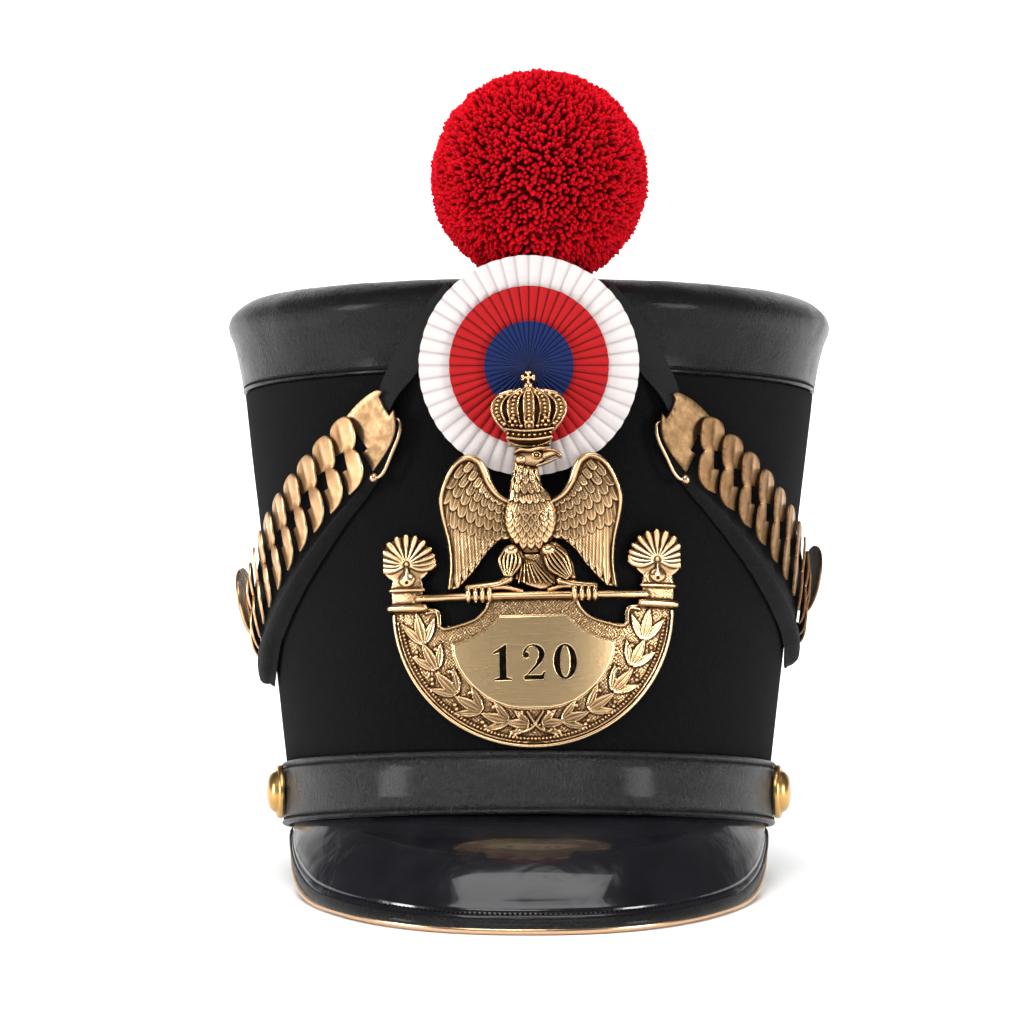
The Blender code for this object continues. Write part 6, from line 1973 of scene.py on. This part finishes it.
eagle.bead(0.0, 126.6, 13.0, 7.4, 1.0, 2.6)
for arch in (-2, 2, -1, 1, 0):      # the outermost arches first
    route = [(arch * u, v, width) for u, v, width in ARCH]
    lift = 1.5 if arch == 0 else 1.0 - 0.45 * abs(arch)
    eagle.ridge(route, 2.4 + lift, 4.1 + lift, 0.6)
    for edge in (-1, 1):
        eagle.ridge([(u + edge * width * 0.85, v, 0.42) for u, v, width in route], 3.0 + lift, 4.8 + lift)
    for u, v, _ in rounded(route, 3)[1:-1]:
        eagle.bead(u, v, 0.78, 0.62, 3.6 + lift, 5.0 + lift)
eagle.wear_and_painted_light[(eagle.v > 119.5) & (eagle.rise > 3.0)] = 0.28
eagle.slab([(-8.0, 112.6), (8.0, 112.6), (9.4, 119.8), (-9.4, 119.8)], 3.4, 0.8, 1.8)


def crown_hoop(share, half, v):
    """A place on a hoop of the crown, which is seen from a little below."""
    return half * share, v - 0.9 * (1.0 - share * share)


for v, half, width in ((115.8, 8.3, 0.7), (119.0, 9.1, 0.6)):
    eagle.ridge([(*crown_hoop(share, half, v), width) for share in evenly(5)], 3.8, 6.2)
eagle.ridge([(-7.6, 114.2, 0.4), (-4.0, 112.8, 0.5), (0.0, 112.4, 0.5), (4.0, 112.8, 0.5),
             (7.6, 114.2, 0.4)], 3.0, 5.6)
# Painted shade: a dark line between the band's lower ridge and the first hoop.
eagle.wear_and_painted_light[np.hypot(eagle.u / 6.8, (eagle.v - 113.9) / 0.75) < 1.0] = -1.0
for share in evenly(9):
    eagle.bead(*crown_hoop(share, 8.0, 117.4), 0.72, 0.66, 4.2, 6.2)
for number, share in enumerate(evenly(7)):
    u, v = crown_hoop(share, 9.3, 120.7)
    eagle.bead(u, v, 0.95, 0.8, 4.6, 6.9)
    if number % 2 == 1:
        for aside, above in ((-1.0, 1.4), (1.0, 1.4), (0.0, 2.6)):
            eagle.bead(u + aside, v + above, 0.9, 0.9, 4.6, 7.0)
for u in (-0.8, 0.8):
    eagle.bead(u, 134.8, 1.3, 1.6, 2.0, 5.8)
eagle.ridge([(0.0, 135.8, 0.8), (0.0, 139.2, 0.8)], 2.0, 5.0, 0.0, 0)
eagle.ridge([(-1.8, 137.9, 0.8), (1.8, 137.9, 0.8)], 2.0, 5.0, 0.0, 0)
for u, v in ((-2.1, 138.5), (-2.1, 137.3), (2.1, 138.5), (2.1, 137.3), (-0.6, 139.8), (0.6, 139.8)):
    eagle.bead(u, v, 1.0, 1.0, 2.2, 5.2)
struck(eagle, "plate_eagle", ANTIQUE_BRASS)

# %% [markdown]
# ## Studio
# The hat was photographed like a catalogue item: alone, on white, with a long lens, so that nothing
# is distorted. The table and the backdrop are one pale sheet that curves up behind the hat. Soft
# boxes do the lighting. One large box hangs in front and above, and a tall one stands at each side:
# their mirror images are the bright places of the leather bands. A wide pane hangs right over the
# peak, because that is what its varnish mirrors. The last two lights whiten the table and the sheet
# behind it, and are flagged off from everything that shines.

# %% Table, backdrop and light
BEND_RADIUS, BEND_AT = 1.2, 4.6         # the sheet's curve, and how far behind the hat it starts
SHEET_LENGTH, SHEET_IN_FRONT, SHEET_HALF_WIDTH = 14.0, 6.0, 6.0
HAT_MIDDLE = (0.0, 0.0, 0.15)


def studio_white():
    paper = Recipe("studio_white")
    paper.set(Base_Color=(0.93, 0.93, 0.93, 1.0), Roughness=0.9, Specular_IOR_Level=0.1)
    return paper.material


def build_backdrop():
    bm = bmesh.new()
    bmesh.ops.create_grid(bm, x_segments=2, y_segments=96, size=1.0)
    for vert in bm.verts:
        along = (vert.co.y + 1.0) / 2.0 * SHEET_LENGTH - SHEET_IN_FRONT
        bend = (along - BEND_AT) / BEND_RADIUS
        round_bend = min(max(bend, 0.0), math.pi / 2)
        y = min(along, BEND_AT) + BEND_RADIUS * math.sin(round_bend)
        z = BEND_RADIUS * (1.0 - math.cos(round_bend) + max(bend - math.pi / 2, 0.0))
        vert.co = (vert.co.x * SHEET_HALF_WIDTH, y, z)
    smooth_object("backdrop", bm, studio_white())


def soft_box(name, place, aim, size, power):
    light = bpy.data.lights.new(name, "AREA")
    light.shape = "RECTANGLE"
    light.size, light.size_y = size
    light.energy = power
    holder = placed(name, light)
    away = Vector(place) - Vector(aim)
    turn = away.to_track_quat("Z", "Y").to_matrix().to_4x4()
    holder.matrix_world = Matrix.Translation(place) @ turn
    return holder


build_backdrop()
soft_box("key_above", (-0.5, -1.7, 1.9), HAT_MIDDLE, (1.3, 0.9), 25.0)
soft_box("side_left", (-1.9, -0.62, 0.48), HAT_MIDDLE, (0.50, 0.75), 33.0)
soft_box("side_right", (1.75, -1.05, 0.52), HAT_MIDDLE, (0.50, 0.75), 30.0)
soft_box("window_above", (0.02, -0.36, 1.5), (0.0, -0.14, 0.0), (1.45, 0.50), 8.5)
table_light = soft_box("table_light", (0.0, 0.9, 2.6), (0.0, 2.2, 0.0), (3.0, 1.0), 120.0)
sheet_light = soft_box("sheet_light", (0.0, 3.0, 3.0), (0.0, 5.2, 0.3), (3.0, 1.0), 170.0)
for wash in (table_light, sheet_light):
    wash.visible_glossy = False

world = bpy.data.worlds.new("studio_air")
world.use_nodes = True
air = world.node_tree.nodes["Background"]
air.inputs["Color"].default_value = (1.0, 1.0, 1.0, 1.0)
air.inputs["Strength"].default_value = 0.10
bpy.context.scene.world = world
bpy.context.scene.view_settings.view_transform = "Standard"

# %% [markdown]
# ## Camera
# The photo was taken from straight in front, four metres away, and a little from above the table.
# Seen from the hat, which leans back, the camera stands below the foot of the wall. So the camera
# is placed in the hat's own frame too, where its sight line is easy to measure, and then leaned
# with it.

# %% Camera
CAMERA_SPOT = Vector((0.0, -4.0, -0.16))
SIGHT_LINE = Vector((-0.001637, 1.0, 0.07023)).normalized()
LENS_MM = 365.2

camera_data = bpy.data.cameras.new("camera")
camera_data.lens = LENS_MM
camera_data.sensor_width = 36.0
camera_data.clip_end = 50.0
camera = placed("camera", camera_data)
right = SIGHT_LINE.cross(UP).normalized()
upward = right.cross(SIGHT_LINE)
camera.matrix_world = HAT @ frame_matrix(CAMERA_SPOT, right, upward, -SIGHT_LINE)
bpy.context.scene.camera = camera
print("camera height above the table:", round(camera.matrix_world.translation.z, 3), "m")

# %% [markdown]
# ## The end
# The number of pieces that were made is printed. The dressed hat must be as big as its solids.

# %% Finish
print("pieces made:", len(made_pieces))
